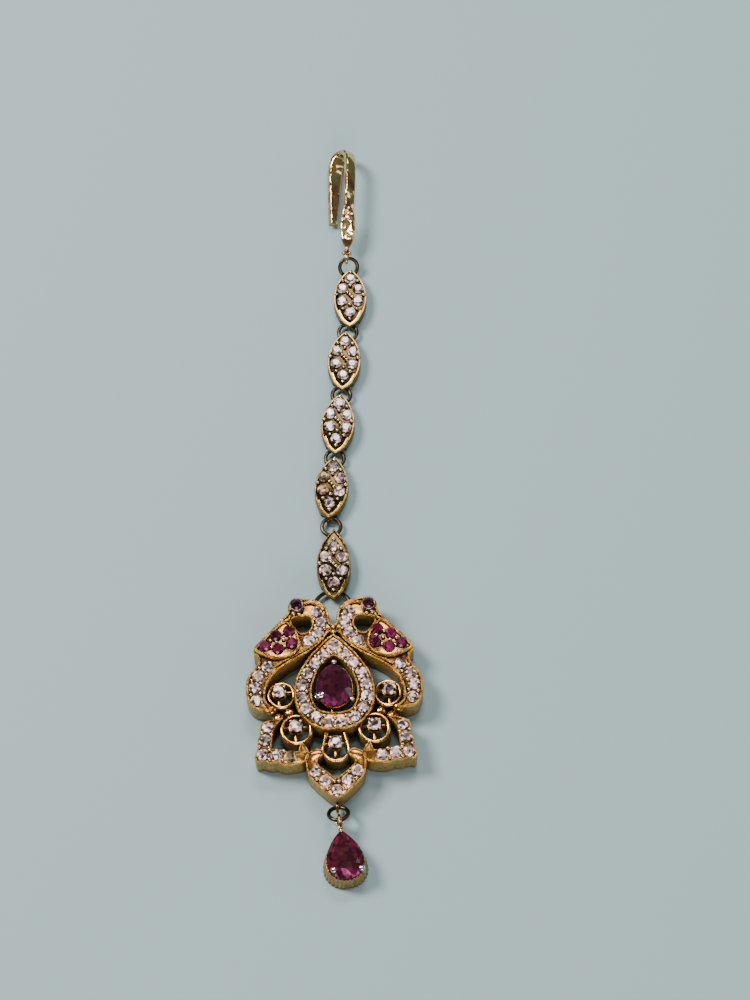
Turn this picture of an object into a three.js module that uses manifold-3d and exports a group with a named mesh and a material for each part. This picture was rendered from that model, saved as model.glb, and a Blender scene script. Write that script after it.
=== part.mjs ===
import * as THREE from "three";
import { mergeVertices } from "three/addons/utils/BufferGeometryUtils.js";
import Module from "manifold-3d";

// A maang tikka, a head jewel, lying face up with its chain drawn out.
// Millimetres, +Z up, +Y from the drop to the hook. The origin is under the middle of the whole jewel.

// Medallion
const medallionWidth = 24;
const medallionHeight = 29;
const medallionDepth = 4;
const medallionTurn = 1.6; // degrees, anticlockwise seen from above
const wingRise = 0.35; // wing plate above the birds' face
const haloRise = 0.25; // stone halo above the birds' face
const petalDrop = 0.2; // petals' faces below the birds'
const ringDrop = 0.5; // open rings' faces below the birds'
const ringWall = 0.5;
const armWidth = 0.5; // arms that hold the raised stones
const strutWidth = 0.8; // struts under the centre stone
const bailRadius = 2.6;
const bailWire = 0.6;
const bailSink = 0.4; // middles of the bail's feet below the heads' tops
const tabNeck = 1.2; // tab's hole back into the bottom petal

// Stones
const paveDiameter = 1.6;
const paveRise = 0.35; // table above its metal
const paveSink = 0.3;
const wingRubyDiameter = 1.55;
const eyeRubyDiameter = 1.36;
const eyeTubeWall = 0.3;
const eyeTubeRise = 0.65;
const solitaireDiameter = 1.75;
const solitaireRise = 0.1; // girdle above the birds' face
const seatThickness = 0.7;
const centreRubyWidth = 4.85;
const centreRubyHeight = 6.1;
const centreRubyRise = 0.45; // girdle above the birds' face
const centreFullness = 0.25; // exponent of the pear's outline, 0 for an oval
const stoneGap = 0.07; // between a loose stone and its setting
const prongRadius = 0.22;
const prongRise = 0.15; // above the girdle
const clawRadius = 0.4; // large prongs of the pear stones
const clawRise = 0.3; // above the girdle

// Chain
const linkLength = 9.5;
const linkWidth = 4.65;
const linkDepth = 2;
const linkRim = 0.4;
const linkRecess = 0.25; // stone field below the rim
const linkStoneSpread = 2.3; // between two stones of a row
const ringRadius = 1.3; // jump ring, to the middle of its wire
const ringWire = 0.55;
const eyeWall = 0.4; // metal round an eye's hole
const eyeWidth = 0.7; // along the wire that passes through
const eyeClearance = 0.15; // round the wire in an eye

// Hook
const stripWidth = 1.7;
const stripThickness = 0.9;
const hookDepth = 4.6; // over both legs
const hookLength = 16.45; // leaf's lower end to the bend's top
const backLegLength = 11.7;
const bendHeight = 3.4; // of the outer curve at the top
const hookRoll = 35; // degrees, the bend's plane off the vertical
const leafLength = 6.4;
const leafWidth = 2.1;
const leafPitch = 12; // degrees
const hookEyeHeight = 2.6;
const hookNeck = 1.8; // eye's middle to the leaf's lower end
const hookShift = -0.55; // of the eye sideways from the first link's
const hookTurn = -1.8; // degrees, as it lies

// Drop
const dropRubyWidth = 5;
const dropRubyHeight = 6.75;
const dropFullness = 0.9;
const dropCupWall = 0.28;
const dropCupHeight = 2.9;
const cupFlareAcross = 1.22; // cup's foot to its rim
const cupFlareAlong = 1.06;
const dropPocketDepth = 1.2;
const dropFlutes = 20;
const dropFluteDepth = 0.14;
const dropTurn = 8; // degrees, anticlockwise
const tabEyeHeight = 1.6;
const dropEyeHeight = 3;
const dropNeck = 1.5; // drop's eye to the cup's apex
const dropShift = 0.3; // of the eye sideways from the tab's

// Route of the chain as it lies, from the lowest link up. turn is the link's heading in degrees, gap and
// shift are the way from the tip below to the link's lower tip, along the chain and sideways. size is the
// link's length as a share of linkLength, and stones how far its stones sit above its middle.
const chainRoute = [
  { name: "link_5", turn: 0, gap: 0, shift: 0, size: 1.12, stones: 0 },
  { name: "link_4", turn: -5, gap: 1.75, shift: -0.8, size: 1, stones: 0.35 },
  { name: "link_3", turn: -4.5, gap: 0.45, shift: 0.05, size: 1, stones: 0.35 },
  { name: "link_2", turn: -3.2, gap: 0.6, shift: 0.2, size: 1, stones: 0.35 },
  { name: "link_1", turn: -0.6, gap: 0.7, shift: 0.5, size: 1, stones: 0.35 },
];
// A link's stones: side in halves of the spread, along as a share of the link's length.
const linkStones = [
  { side: 0, along: 0.3 },
  { side: -1, along: 0.13 },
  { side: 1, along: 0.13 },
  { side: -1, along: -0.085 },
  { side: 1, along: -0.085 },
  { side: 0, along: -0.28 },
];
const bailInset = 1.75; // bail's wire from the lowest link's tip
const medallionShift = -0.16; // sideways from the lowest link
const hookRingInset = 0.5;

// Outlines of the medallion's right half, seen from the front.
// out is in 24ths of the medallion's width from its middle line, up in 29ths of its height.
const birdOutline = [
  { out: -0.2, up: 7.3 },
  { out: -0.2, up: 8.3 },
  { out: 0.5, up: 9.0 },
  { out: 0.6, up: 10.2 },
  { out: 0.9, up: 10.9 },
  { out: 1.5, up: 11.6 },
  { out: 2.2, up: 12.0 },
  { out: 3.0, up: 12.3 },
  { out: 4.2, up: 12.4 },
  { out: 5.3, up: 12.3 },
  { out: 6.0, up: 11.5 },
  { out: 6.15, up: 10.3 },
  { out: 7.1, up: 9.3 },
  { out: 8.2, up: 8.1 },
  { out: 9.1, up: 7.2 },
  { out: 9.9, up: 6.3 },
  { out: 10.7, up: 5.4 },
  { out: 10.8, up: 4.6 },
  { out: 10.3, up: 3.9 },
  { out: 10.2, up: 3.1 },
  { out: 10.8, up: 2.2 },
  { out: 11.6, up: 1.2 },
  { out: 11.95, up: 0.2 },
  { out: 12.0, up: -1.0 },
  { out: 11.7, up: -2.2 },
  { out: 11.2, up: -3.1 },
  { out: 10.5, up: -3.6 },
  { out: 9.5, up: -3.8 },
  { out: 8.4, up: -3.8 },
  { out: 8.6, up: -3.2 },
  { out: 9.2, up: -2.5 },
  { out: 9.3, up: -1.5 },
  { out: 9.1, up: -0.4 },
  { out: 8.75, up: 0.5 },
  { out: 8.2, up: 1.2 },
  { out: 7.3, up: 2.1 },
  { out: 6.3, up: 2.85 },
  { out: 5.3, up: 3.4 },
  { out: 4.3, up: 3.95 },
  { out: 3.2, up: 4.6 },
  { out: 2.2, up: 5.4 },
  { out: 1.3, up: 6.3 },
  { out: 0.7, up: 7.2 },
];
const neckOpening = [
  { out: 5.5, up: 9.4 },
  { out: 4.5, up: 9.7 },
  { out: 3.5, up: 9.7 },
  { out: 3.0, up: 9.3 },
  { out: 2.9, up: 8.4 },
  { out: 3.4, up: 7.6 },
  { out: 4.2, up: 7.3 },
  { out: 4.9, up: 7.8 },
  { out: 5.6, up: 8.8 },
];
const wingOutline = [
  { out: 10.6, up: 4.95 },
  { out: 10.1, up: 4.4 },
  { out: 9.0, up: 3.85 },
  { out: 8.0, up: 3.55 },
  { out: 7.0, up: 3.55 },
  { out: 6.0, up: 3.85 },
  { out: 5.2, up: 4.35 },
  { out: 4.7, up: 5.1 },
  { out: 4.6, up: 6.0 },
  { out: 4.9, up: 7.2 },
  { out: 5.7, up: 8.3 },
  { out: 6.4, up: 8.9 },
  { out: 7.2, up: 8.5 },
  { out: 8.1, up: 7.7 },
  { out: 9.0, up: 6.8 },
  { out: 9.9, up: 5.8 },
];
const sidePetalOutline = [
  { out: 7.2, up: -4.9 },
  { out: 8.3, up: -5.0 },
  { out: 10.0, up: -5.9 },
  { out: 10.1, up: -7.0 },
  { out: 10.4, up: -8.0 },
  { out: 10.4, up: -9.0 },
  { out: 10.7, up: -10.3 },
  { out: 10.4, up: -11.0 },
  { out: 9.5, up: -10.9 },
  { out: 8.0, up: -11.2 },
  { out: 6.8, up: -11.4 },
  { out: 5.8, up: -11.5 },
  { out: 4.6, up: -11.3 },
  { out: 3.8, up: -10.9 },
  { out: 3.6, up: -9.9 },
  { out: 4.0, up: -8.9 },
  { out: 4.6, up: -8.2 },
  { out: 5.0, up: -9.7 },
  { out: 6.5, up: -9.6 },
  { out: 7.5, up: -9.3 },
  { out: 8.6, up: -9.2 },
  { out: 8.5, up: -8.0 },
  { out: 8.3, up: -6.5 },
  { out: 7.7, up: -5.6 },
];
const bottomPetalOutline = [
  { out: -0.1, up: -13.7 },
  { out: 1.0, up: -12.7 },
  { out: 2.4, up: -11.5 },
  { out: 2.5, up: -10.8 },
  { out: 1.6, up: -10.0 },
  { out: 2.2, up: -9.3 },
  { out: 3.3, up: -9.6 },
  { out: 4.0, up: -10.2 },
  { out: 4.0, up: -11.5 },
  { out: 3.7, up: -12.9 },
  { out: 3.0, up: -13.9 },
  { out: 2.0, up: -14.9 },
  { out: 1.0, up: -15.8 },
  { out: -0.1, up: -16.4 },
];
const archOutline = [
  { out: 1.3, up: -6.2 },
  { out: 1.7, up: -8.0 },
  { out: 2.0, up: -9.2 },
  { out: 1.8, up: -10.2 },
  { out: 1.0, up: -10.95 },
  { out: -0.1, up: -11.1 },
  { out: -0.1, up: -10.6 },
  { out: 0.7, up: -10.45 },
  { out: 1.3, up: -9.9 },
  { out: 1.5, up: -9.2 },
  { out: 1.2, up: -8.0 },
  { out: 0.8, up: -6.2 },
];
const haloOutside = [
  { out: 0, up: 7.0 },
  { out: 1.0, up: 6.3 },
  { out: 2.0, up: 5.2 },
  { out: 2.9, up: 4.3 },
  { out: 3.7, up: 3.2 },
  { out: 4.6, up: 1.8 },
  { out: 5.2, up: 0.4 },
  { out: 5.4, up: -1.0 },
  { out: 5.4, up: -2.2 },
  { out: 5.1, up: -3.5 },
  { out: 4.4, up: -4.8 },
  { out: 3.5, up: -5.8 },
  { out: 2.2, up: -6.5 },
  { out: 1.0, up: -6.75 },
  { out: 0, up: -6.8 },
];
const haloInside = [
  { out: 0, up: 3.7 },
  { out: 0.9, up: 3.3 },
  { out: 1.7, up: 2.6 },
  { out: 2.4, up: 1.2 },
  { out: 2.9, up: -0.3 },
  { out: 3.05, up: -1.5 },
  { out: 2.8, up: -2.8 },
  { out: 2.1, up: -3.8 },
  { out: 1.0, up: -4.2 },
  { out: 0, up: -4.25 },
];

// Places of the stones in the same 24ths and 29ths; those with out above 0 are on both sides.
const haloStones = [
  { out: 0, up: 5.4 },
  { out: 1.45, up: 4.0 },
  { out: 2.55, up: 2.75 },
  { out: 3.6, up: 1.35 },
  { out: 4.3, up: -0.3 },
  { out: 4.4, up: -2.05 },
  { out: 3.8, up: -3.65 },
  { out: 2.55, up: -4.9 },
  { out: 0.9, up: -5.7 },
];
const birdStones = [
  { out: 2.25, up: 10.4 },
  { out: 1.55, up: 8.9 },
  { out: 2.1, up: 7.35 },
  { out: 3.3, up: 6.2 },
  { out: 8.95, up: 2.6 },
  { out: 10.25, up: 1.25 },
  { out: 10.75, up: -0.4 },
  { out: 10.45, up: -2.25 },
];
const petalStones = [
  { out: 9.0, up: -6.1 },
  { out: 9.4, up: -7.9 },
  { out: 9.7, up: -9.95 },
  { out: 7.95, up: -10.0 },
  { out: 6.1, up: -10.3 },
  { out: 2.8, up: -12.45 },
  { out: 1.5, up: -13.75 },
  { out: 0, up: -15.1 },
];
const wingStones = [
  { out: 9.2, up: 5.45 },
  { out: 7.8, up: 6.87 },
  { out: 6.0, up: 7.5 },
  { out: 5.65, up: 5.72 },
  { out: 7.5, up: 4.92 },
];
const eyePlace = { out: 4.9, up: 11.2 };
const upperRing = { out: 7.15, up: -1.5, radius: 1.95 };
const lowerRing = { out: 5.2, up: -6.4, radius: 2.2 };
const solitairePlaces = {
  upper: { out: 7.4, up: -1.1 },
  lower: { out: 5.25, up: -6.1 },
  bottom: { out: 0, up: -8.5 },
};
const centrePlace = { out: -0.1, up: -0.55 };
// Solder lumps where rings, tails and petals meet
const solderLumps = [
  { out: 7.6, up: -4.6, radius: 0.85 },
  { out: 8.5, up: -3.3, radius: 0.85 },
  { out: 6.1, up: -3.9, radius: 0.85 },
];

// Materials
const gold = new THREE.MeshStandardMaterial({
  color: 0xb08a45,
  metalness: 1,
  roughness: 0.38,
  flatShading: true,
});
const darkBrass = new THREE.MeshStandardMaterial({ color: 0x4a4032, metalness: 1, roughness: 0.55 });
const whiteStone = new THREE.MeshStandardMaterial({ color: 0xe9e2e4, roughness: 0.05, flatShading: true });
const redStone = new THREE.MeshStandardMaterial({ color: 0x6e1238, roughness: 0.04, flatShading: true });

// Solids
const wasm = await Module();
wasm.setup();

function solidOf(geometry) {
  const bare = geometry.clone();
  bare.deleteAttribute("normal");
  bare.deleteAttribute("uv");
  const merged = mergeVertices(bare, 1e-4);
  const triVerts = new Uint32Array(merged.index.array);
  const vertProperties = merged.attributes.position.array;
  return new wasm.Manifold(new wasm.Mesh({ numProp: 3, vertProperties, triVerts }));
}

function meshOf(name, solid, material) {
  const { vertProperties, triVerts } = solid.getMesh();
  const geometry = new THREE.BufferGeometry();
  geometry.setAttribute("position", new THREE.BufferAttribute(vertProperties, 3));
  geometry.setIndex(new THREE.BufferAttribute(triVerts, 1));
  geometry.computeVertexNormals();
  const mesh = new THREE.Mesh(geometry, material);
  mesh.name = name;
  return mesh;
}

function joined(solids) {
  return solids.reduce((whole, next) => whole.add(next));
}

const radians = THREE.MathUtils.degToRad;

// A flat outline made solid between two heights, with openings through it
function slab(points, bottom, top, openings = []) {
  const shape = new THREE.Shape(points);
  const geometry = new THREE.ExtrudeGeometry(shape, { depth: top - bottom, bevelEnabled: false });
  const whole = solidOf(geometry.translate(0, 0, bottom));
  return openings.reduce((rest, opening) => rest.subtract(slab(opening, bottom - 1, top + 1)), whole);
}

function circlePoints(x, y, radius, sides) {
  return Array.from({ length: sides }, (_, i) => {
    const angle = ((i + 0.5) / sides) * 2 * Math.PI;
    return new THREE.Vector2(x + radius * Math.cos(angle), y + radius * Math.sin(angle));
  });
}

function disc(x, y, radius, bottom, top, sides = 12) {
  return slab(circlePoints(x, y, radius, sides), bottom, top);
}

function bar(x, y, width, length, bottom, top) {
  const box = new THREE.BoxGeometry(width, length, top - bottom);
  return solidOf(box.translate(x, y, (bottom + top) / 2));
}

// A round cut stone about the z axis: flat culet, pavilion, girdle, crown and table
function roundStone(diameter, sides) {
  const r = diameter / 2;
  const profile = [
    new THREE.Vector2(0, -0.62 * r),
    new THREE.Vector2(0.3 * r, -0.62 * r),
    new THREE.Vector2(r, -0.05 * r),
    new THREE.Vector2(r, 0.05 * r),
    new THREE.Vector2(0.58 * r, 0.42 * r),
    new THREE.Vector2(0, 0.42 * r),
  ];
  return solidOf(new THREE.LatheGeometry(profile, sides).rotateX(Math.PI / 2));
}

// A pear outline with its point up, around the middle of its height
function pearPoints({ width, height, fullness }, sides, ripple = 0, ripples = 0) {
  const bulge = (t) => Math.sin(t) * Math.abs(Math.sin(t / 2)) ** fullness;
  const widest = bulge(2 * Math.acos(1 / Math.sqrt(2 + fullness)));
  return Array.from({ length: sides }, (_, i) => {
    const t = (i / sides) * 2 * Math.PI;
    const swell = 1 + (ripple / height) * Math.cos(ripples * t);
    return new THREE.Vector2((width / 2) * (bulge(t) / widest) * swell, (height / 2) * Math.cos(t) * swell);
  });
}

function scaled(pear, share) {
  return { ...pear, width: pear.width * share, height: pear.height * share };
}

// Stacks scaled copies of an outline at given heights and closes both ends. share scales a level's length,
// and its width too unless it has a share of its own.
function stack(outline, levels) {
  const count = outline.length;
  const positions = [];
  const index = [];
  for (const level of levels)
    for (const point of outline)
      positions.push(point.x * (level.wide ?? level.share), point.y * level.share, level.z);
  for (let ring = 0; ring + 1 < levels.length; ring++)
    for (let i = 0; i < count; i++) {
      const j = (i + 1) % count;
      const low = ring * count;
      const high = low + count;
      index.push(low + i, high + j, high + i, low + i, low + j, high + j);
    }
  const bottom = positions.length / 3;
  positions.push(0, 0, levels[0].z, 0, 0, levels[levels.length - 1].z);
  const top = (levels.length - 1) * count;
  for (let i = 0; i < count; i++) {
    const j = (i + 1) % count;
    index.push(bottom, j, i, bottom + 1, top + i, top + j);
  }
  const geometry = new THREE.BufferGeometry();
  geometry.setAttribute("position", new THREE.BufferAttribute(new Float32Array(positions), 3));
  // The outline runs clockwise seen from above, so each face is turned round.
  for (let i = 0; i < index.length; i += 3) [index[i + 1], index[i + 2]] = [index[i + 2], index[i + 1]];
  geometry.setIndex(index);
  return solidOf(geometry);
}

// A pear-cut stone, girdle at height 0
function pearStone(pear) {
  const { height } = pear;
  return stack(pearPoints(pear, 16), [
    { z: -0.21 * height, share: 0.7 },
    { z: -0.015 * height, share: 1 },
    { z: 0.015 * height, share: 1 },
    { z: 0.075 * height, share: 0.8 },
    { z: 0.105 * height, share: 0.55 },
  ]);
}

// A jump ring lying in the xy plane about the origin
function jumpRing() {
  return solidOf(new THREE.TorusGeometry(ringRadius, ringWire / 2, 6, 14));
}

const eyeHole = ringWire + 2 * eyeClearance;
const eyeReach = eyeHole / 2 + eyeWall; // hole's middle to the eye's outer side

// An eye with its hole along x, centred on the hole, drawn out towards -y by neck
function eye(neck = 0) {
  const round = Array.from({ length: neck ? 7 : 12 }, (_, i) => {
    const angle = radians(30 * i - 90);
    return new THREE.Vector2(eyeReach * Math.cos(angle), eyeReach * Math.sin(angle));
  });
  const end = neck ? [new THREE.Vector2(-neck, eyeReach), new THREE.Vector2(-neck, -eyeReach)] : [];
  const shape = new THREE.Shape([...round, ...end]);
  shape.holes = [new THREE.Path(circlePoints(0, 0, eyeHole / 2, 8))];
  const geometry = new THREE.ExtrudeGeometry(shape, { depth: eyeWidth, bevelEnabled: false });
  // The shape's x runs along y and its y along z.
  geometry.translate(0, 0, -eyeWidth / 2);
  geometry.applyMatrix4(new THREE.Matrix4().set(0, 0, 1, 0, 1, 0, 0, 0, 0, 1, 0, 0, 0, 0, 0, 1));
  return solidOf(geometry);
}

const chainHeight = eyeReach; // height of the wires' middles where they pass the links' eyes

// Navette link
function navettePoints(length, width, steps = 8) {
  const radius = (length * length + width * width) / (4 * width);
  const half = Math.asin(length / 2 / radius);
  const side = (sign) =>
    Array.from({ length: steps }, (_, i) => {
      const angle = -half + (2 * half * i) / steps;
      const x = radius * Math.cos(angle) - (radius - width / 2);
      return new THREE.Vector2(sign * x, sign * radius * Math.sin(angle));
    });
  return [...side(1), ...side(-1)];
}

function paveStone(x, y, surface) {
  const profile = [
    new THREE.Vector2(0, -paveSink),
    new THREE.Vector2(paveDiameter / 2, -paveSink),
    new THREE.Vector2(paveDiameter / 2, paveRise * 0.3),
    new THREE.Vector2(paveDiameter * 0.3, paveRise),
    new THREE.Vector2(0, paveRise),
  ];
  return solidOf(new THREE.LatheGeometry(profile, 8).rotateX(Math.PI / 2).translate(x, y, surface));
}

function link(length, stoneShift, upperEye, lowerEye) {
  const capBottom = chainHeight + eyeHole / 2;
  const field = linkDepth - linkRecess;
  const outside = navettePoints(length, linkWidth);
  const inside = navettePoints(length - 4 * linkRim, linkWidth - 2 * linkRim);
  let body = slab(outside, 0, linkDepth).subtract(slab(inside, field, linkDepth + 1));
  for (const { y, sign } of [
    { y: upperEye, sign: 1 },
    { y: -lowerEye, sign: -1 },
  ]) {
    const cutStart = y - (sign * eyeHole) / 2;
    body = body.subtract(bar(0, cutStart + (sign * length) / 2, 2 * linkWidth, length, -1, capBottom));
  }
  const stones = linkStones.map(({ side, along }) =>
    paveStone((side * linkStoneSpread) / 2, along * linkLength + stoneShift, field),
  );
  const neck = eyeHole / 2 + eyeWall;
  const upper = eye(neck).translate([0, upperEye, chainHeight]);
  const lower = eye(neck).rotate([0, 0, 180]).translate([0, -lowerEye, chainHeight]);
  return joined([body, ...stones, upper, lower]);
}

// Medallion
const across = medallionWidth / 24;
const along = medallionHeight / 29;

function place({ out, up }, side = 1) {
  return new THREE.Vector2(side * out * across, up * along);
}

function halfPoints(rows, side) {
  return rows.map((row) => place(row, side));
}

function wholePoints(rows) {
  const left = rows.slice(1, -1).reverse();
  return [...halfPoints(rows, 1), ...halfPoints(left, -1)];
}

function openRing(centre, radius, bottom, top) {
  const inner = circlePoints(centre.x, centre.y, radius - ringWall, 16);
  return slab(circlePoints(centre.x, centre.y, radius, 16), bottom, top, [inner]);
}

const solitaireGirdle = medallionDepth + solitaireRise;
const solitaireSeatTop = solitaireGirdle - 0.31 * solitaireDiameter - stoneGap;

// A small table with four prongs for a round stone
function solitaireSeat(centre) {
  const reach = solitaireDiameter / 2 + stoneGap + prongRadius;
  const seat = disc(centre.x, centre.y, reach * 0.8, solitaireSeatTop - seatThickness, solitaireSeatTop);
  const prongs = [45, 135, 225, 315].flatMap((degrees) => {
    const x = centre.x + reach * Math.cos(radians(degrees));
    const y = centre.y + reach * Math.sin(radians(degrees));
    const bottom = solitaireSeatTop - seatThickness;
    const halfX = (x + centre.x) / 2;
    const halfY = (y + centre.y) / 2;
    const foot = disc(halfX, halfY, reach * 0.55, bottom, solitaireSeatTop, 6);
    return [foot, disc(x, y, prongRadius, bottom, solitaireGirdle + prongRise, 6)];
  });
  return joined([seat, ...prongs]);
}

const centrePear = { width: centreRubyWidth, height: centreRubyHeight, fullness: centreFullness };
const centreGirdle = medallionDepth + centreRubyRise;
const centreSeatTop = centreGirdle - 0.21 * centreRubyHeight - stoneGap;
const clawTurns = [0, 122, 238]; // degrees from the pear's point, clockwise

// Claws standing round a pear stone's girdle, from bottom to a little above the girdle
function pearClaws(pear, bottom, girdle) {
  const rim = pearPoints(pear, 72);
  return clawTurns.map((degrees) => {
    const point = rim[Math.round(degrees / 5)];
    const away = point.clone().normalize().multiplyScalar(stoneGap + clawRadius);
    return disc(point.x + away.x, point.y + away.y, clawRadius, bottom, girdle + clawRise, 8);
  });
}

function centreSeat() {
  const bottom = medallionDepth * 0.3;
  const strutTop = medallionDepth / 2;
  const table = slab(pearPoints(scaled(centrePear, 0.86), 20), bottom, centreSeatTop);
  const claws = pearClaws(centrePear, bottom, centreGirdle);
  const bars = [
    bar(0, 0, strutWidth, centreRubyHeight * 1.35, bottom, strutTop),
    bar(0, -centreRubyHeight * 0.15, centreRubyWidth * 1.45, strutWidth, bottom, strutTop),
  ];
  const footPlace = { x: centreRubyWidth / 3, y: -centreRubyHeight * 0.27 };
  const feet = [-1, 1].map((side) =>
    bar(side * footPlace.x, footPlace.y, centreRubyWidth / 3, strutWidth, bottom, centreSeatTop),
  );
  const footLength = centreRubyHeight / 4;
  const topFoot = bar(0, centreRubyHeight * 0.42, strutWidth, footLength, bottom, centreSeatTop);
  const { x, y } = place(centrePlace);
  return joined([table, ...claws, ...bars, ...feet, topFoot]).translate([x, y, 0]);
}

const headTop = Math.max(...birdOutline.map((row) => row.up)) * along;
const bailFeet = headTop - bailSink;

function bail() {
  const arch = new THREE.TorusGeometry(bailRadius, bailWire / 2, 6, 20).translate(0, bailFeet, chainHeight);
  const lower = bar(0, bailFeet - bailRadius, 3 * bailRadius, 2 * bailRadius, -1, medallionDepth);
  const low = chainHeight - bailWire / 2;
  const sunkFeet = [-1, 1].map((side) =>
    bar(side * bailRadius, bailFeet - bailWire, bailWire, 2.5 * bailWire, low, low + bailWire),
  );
  return joined([solidOf(arch).subtract(lower), ...sunkFeet]);
}

const petalPoint = bottomPetalOutline[bottomPetalOutline.length - 1];
const tabPlace = petalPoint.up * along - eyeHole / 2; // hole's middle, just past the bottom petal's point

function medallionFrame() {
  const face = medallionDepth;
  const solids = [slab(wholePoints(haloOutside), 0, face + haloRise, [wholePoints(haloInside)])];
  const pockets = [];
  for (const side of [1, -1]) {
    solids.push(slab(halfPoints(birdOutline, side), 0, face, [halfPoints(neckOpening, side)]));
    solids.push(slab(halfPoints(wingOutline, side), face / 2, face + wingRise));
    solids.push(slab(halfPoints(sidePetalOutline, side), 0, face - petalDrop));
    solids.push(slab(halfPoints(bottomPetalOutline, side), 0, face - petalDrop));
    solids.push(slab(halfPoints(archOutline, side), 0, face - ringDrop));
    for (const ring of [upperRing, lowerRing])
      solids.push(openRing(place(ring, side), ring.radius * across, 0, face - ringDrop));
    for (const lump of solderLumps) {
      const { x, y } = place(lump, side);
      solids.push(disc(x, y, lump.radius * across, 0, face - ringDrop));
    }
    const eyeAt = place(eyePlace, side);
    const tubeRadius = eyeRubyDiameter / 2 + stoneGap + eyeTubeWall;
    solids.push(disc(eyeAt.x, eyeAt.y, tubeRadius, 0, face + eyeTubeRise));
    const pocketDepth = 0.55 * eyeRubyDiameter;
    const eyeFloor = face + eyeTubeRise - pocketDepth;
    pockets.push(disc(eyeAt.x, eyeAt.y, eyeRubyDiameter / 2 + stoneGap, eyeFloor, face + 2));
    for (const stone of wingStones) {
      const { x, y } = place(stone, side);
      const floor = face + wingRise - 0.55 * wingRubyDiameter;
      pockets.push(disc(x, y, wingRubyDiameter / 2 + stoneGap, floor, face + 2));
    }
    for (const [ring, spot] of [
      [upperRing, solitairePlaces.upper],
      [lowerRing, solitairePlaces.lower],
    ]) {
      const centre = place(ring, side);
      const at = place(spot, side);
      const armBottom = solitaireSeatTop - seatThickness;
      solids.push(solitaireSeat(at));
      const armLength = 2 * ring.radius * across - ringWall;
      solids.push(bar(centre.x, at.y, armLength, armWidth, armBottom, solitaireSeatTop));
    }
    for (const stone of birdStones) {
      const { x, y } = place(stone, side);
      solids.push(paveStone(x, y, face));
    }
  }
  for (const [rows, surface] of [
    [haloStones, face + haloRise],
    [petalStones, face - petalDrop],
  ])
    for (const row of rows)
      for (const side of row.out ? [1, -1] : [1]) {
        const { x, y } = place(row, side);
        solids.push(paveStone(x, y, surface));
      }
  const bottomSeat = place(solitairePlaces.bottom);
  const armBottom = solitaireSeatTop - seatThickness;
  solids.push(solitaireSeat(bottomSeat));
  solids.push(bar(0, bottomSeat.y, 3 * across, armWidth, armBottom, solitaireSeatTop));
  solids.push(centreSeat());
  solids.push(bail());
  solids.push(eye(tabNeck).rotate([0, 0, 180]).translate([0, tabPlace, tabEyeHeight]));
  return pockets.reduce((whole, pocket) => whole.subtract(pocket), joined(solids));
}

function stoneMesh(name, diameter, material, { x, y }, z) {
  const mesh = meshOf(name, roundStone(diameter, 10), material);
  mesh.position.set(x, y, z);
  return mesh;
}

function medallion() {
  const group = new THREE.Group();
  group.add(meshOf("medallion_frame", medallionFrame(), gold));
  const ruby = meshOf("centre_ruby", pearStone(centrePear), redStone);
  const centre = place(centrePlace);
  ruby.position.set(centre.x, centre.y, centreGirdle);
  group.add(ruby);
  for (const { side, word } of [
    { side: 1, word: "right" },
    { side: -1, word: "left" },
  ]) {
    wingStones.forEach((stone, i) => {
      const name = `wing_ruby_${word}_${i + 1}`;
      const wingZ = medallionDepth + wingRise;
      group.add(stoneMesh(name, wingRubyDiameter, redStone, place(stone, side), wingZ));
    });
    const eyeZ = medallionDepth + eyeTubeRise;
    group.add(stoneMesh(`eye_ruby_${word}`, eyeRubyDiameter, redStone, place(eyePlace, side), eyeZ));
    for (const level of ["upper", "lower"]) {
      const at = place(solitairePlaces[level], side);
      const name = `solitaire_${level}_${word}`;
      group.add(stoneMesh(name, solitaireDiameter, whiteStone, at, solitaireGirdle));
    }
  }
  const bottomAt = place(solitairePlaces.bottom);
  group.add(stoneMesh("solitaire_bottom", solitaireDiameter, whiteStone, bottomAt, solitaireGirdle));
  return group;
}

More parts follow.
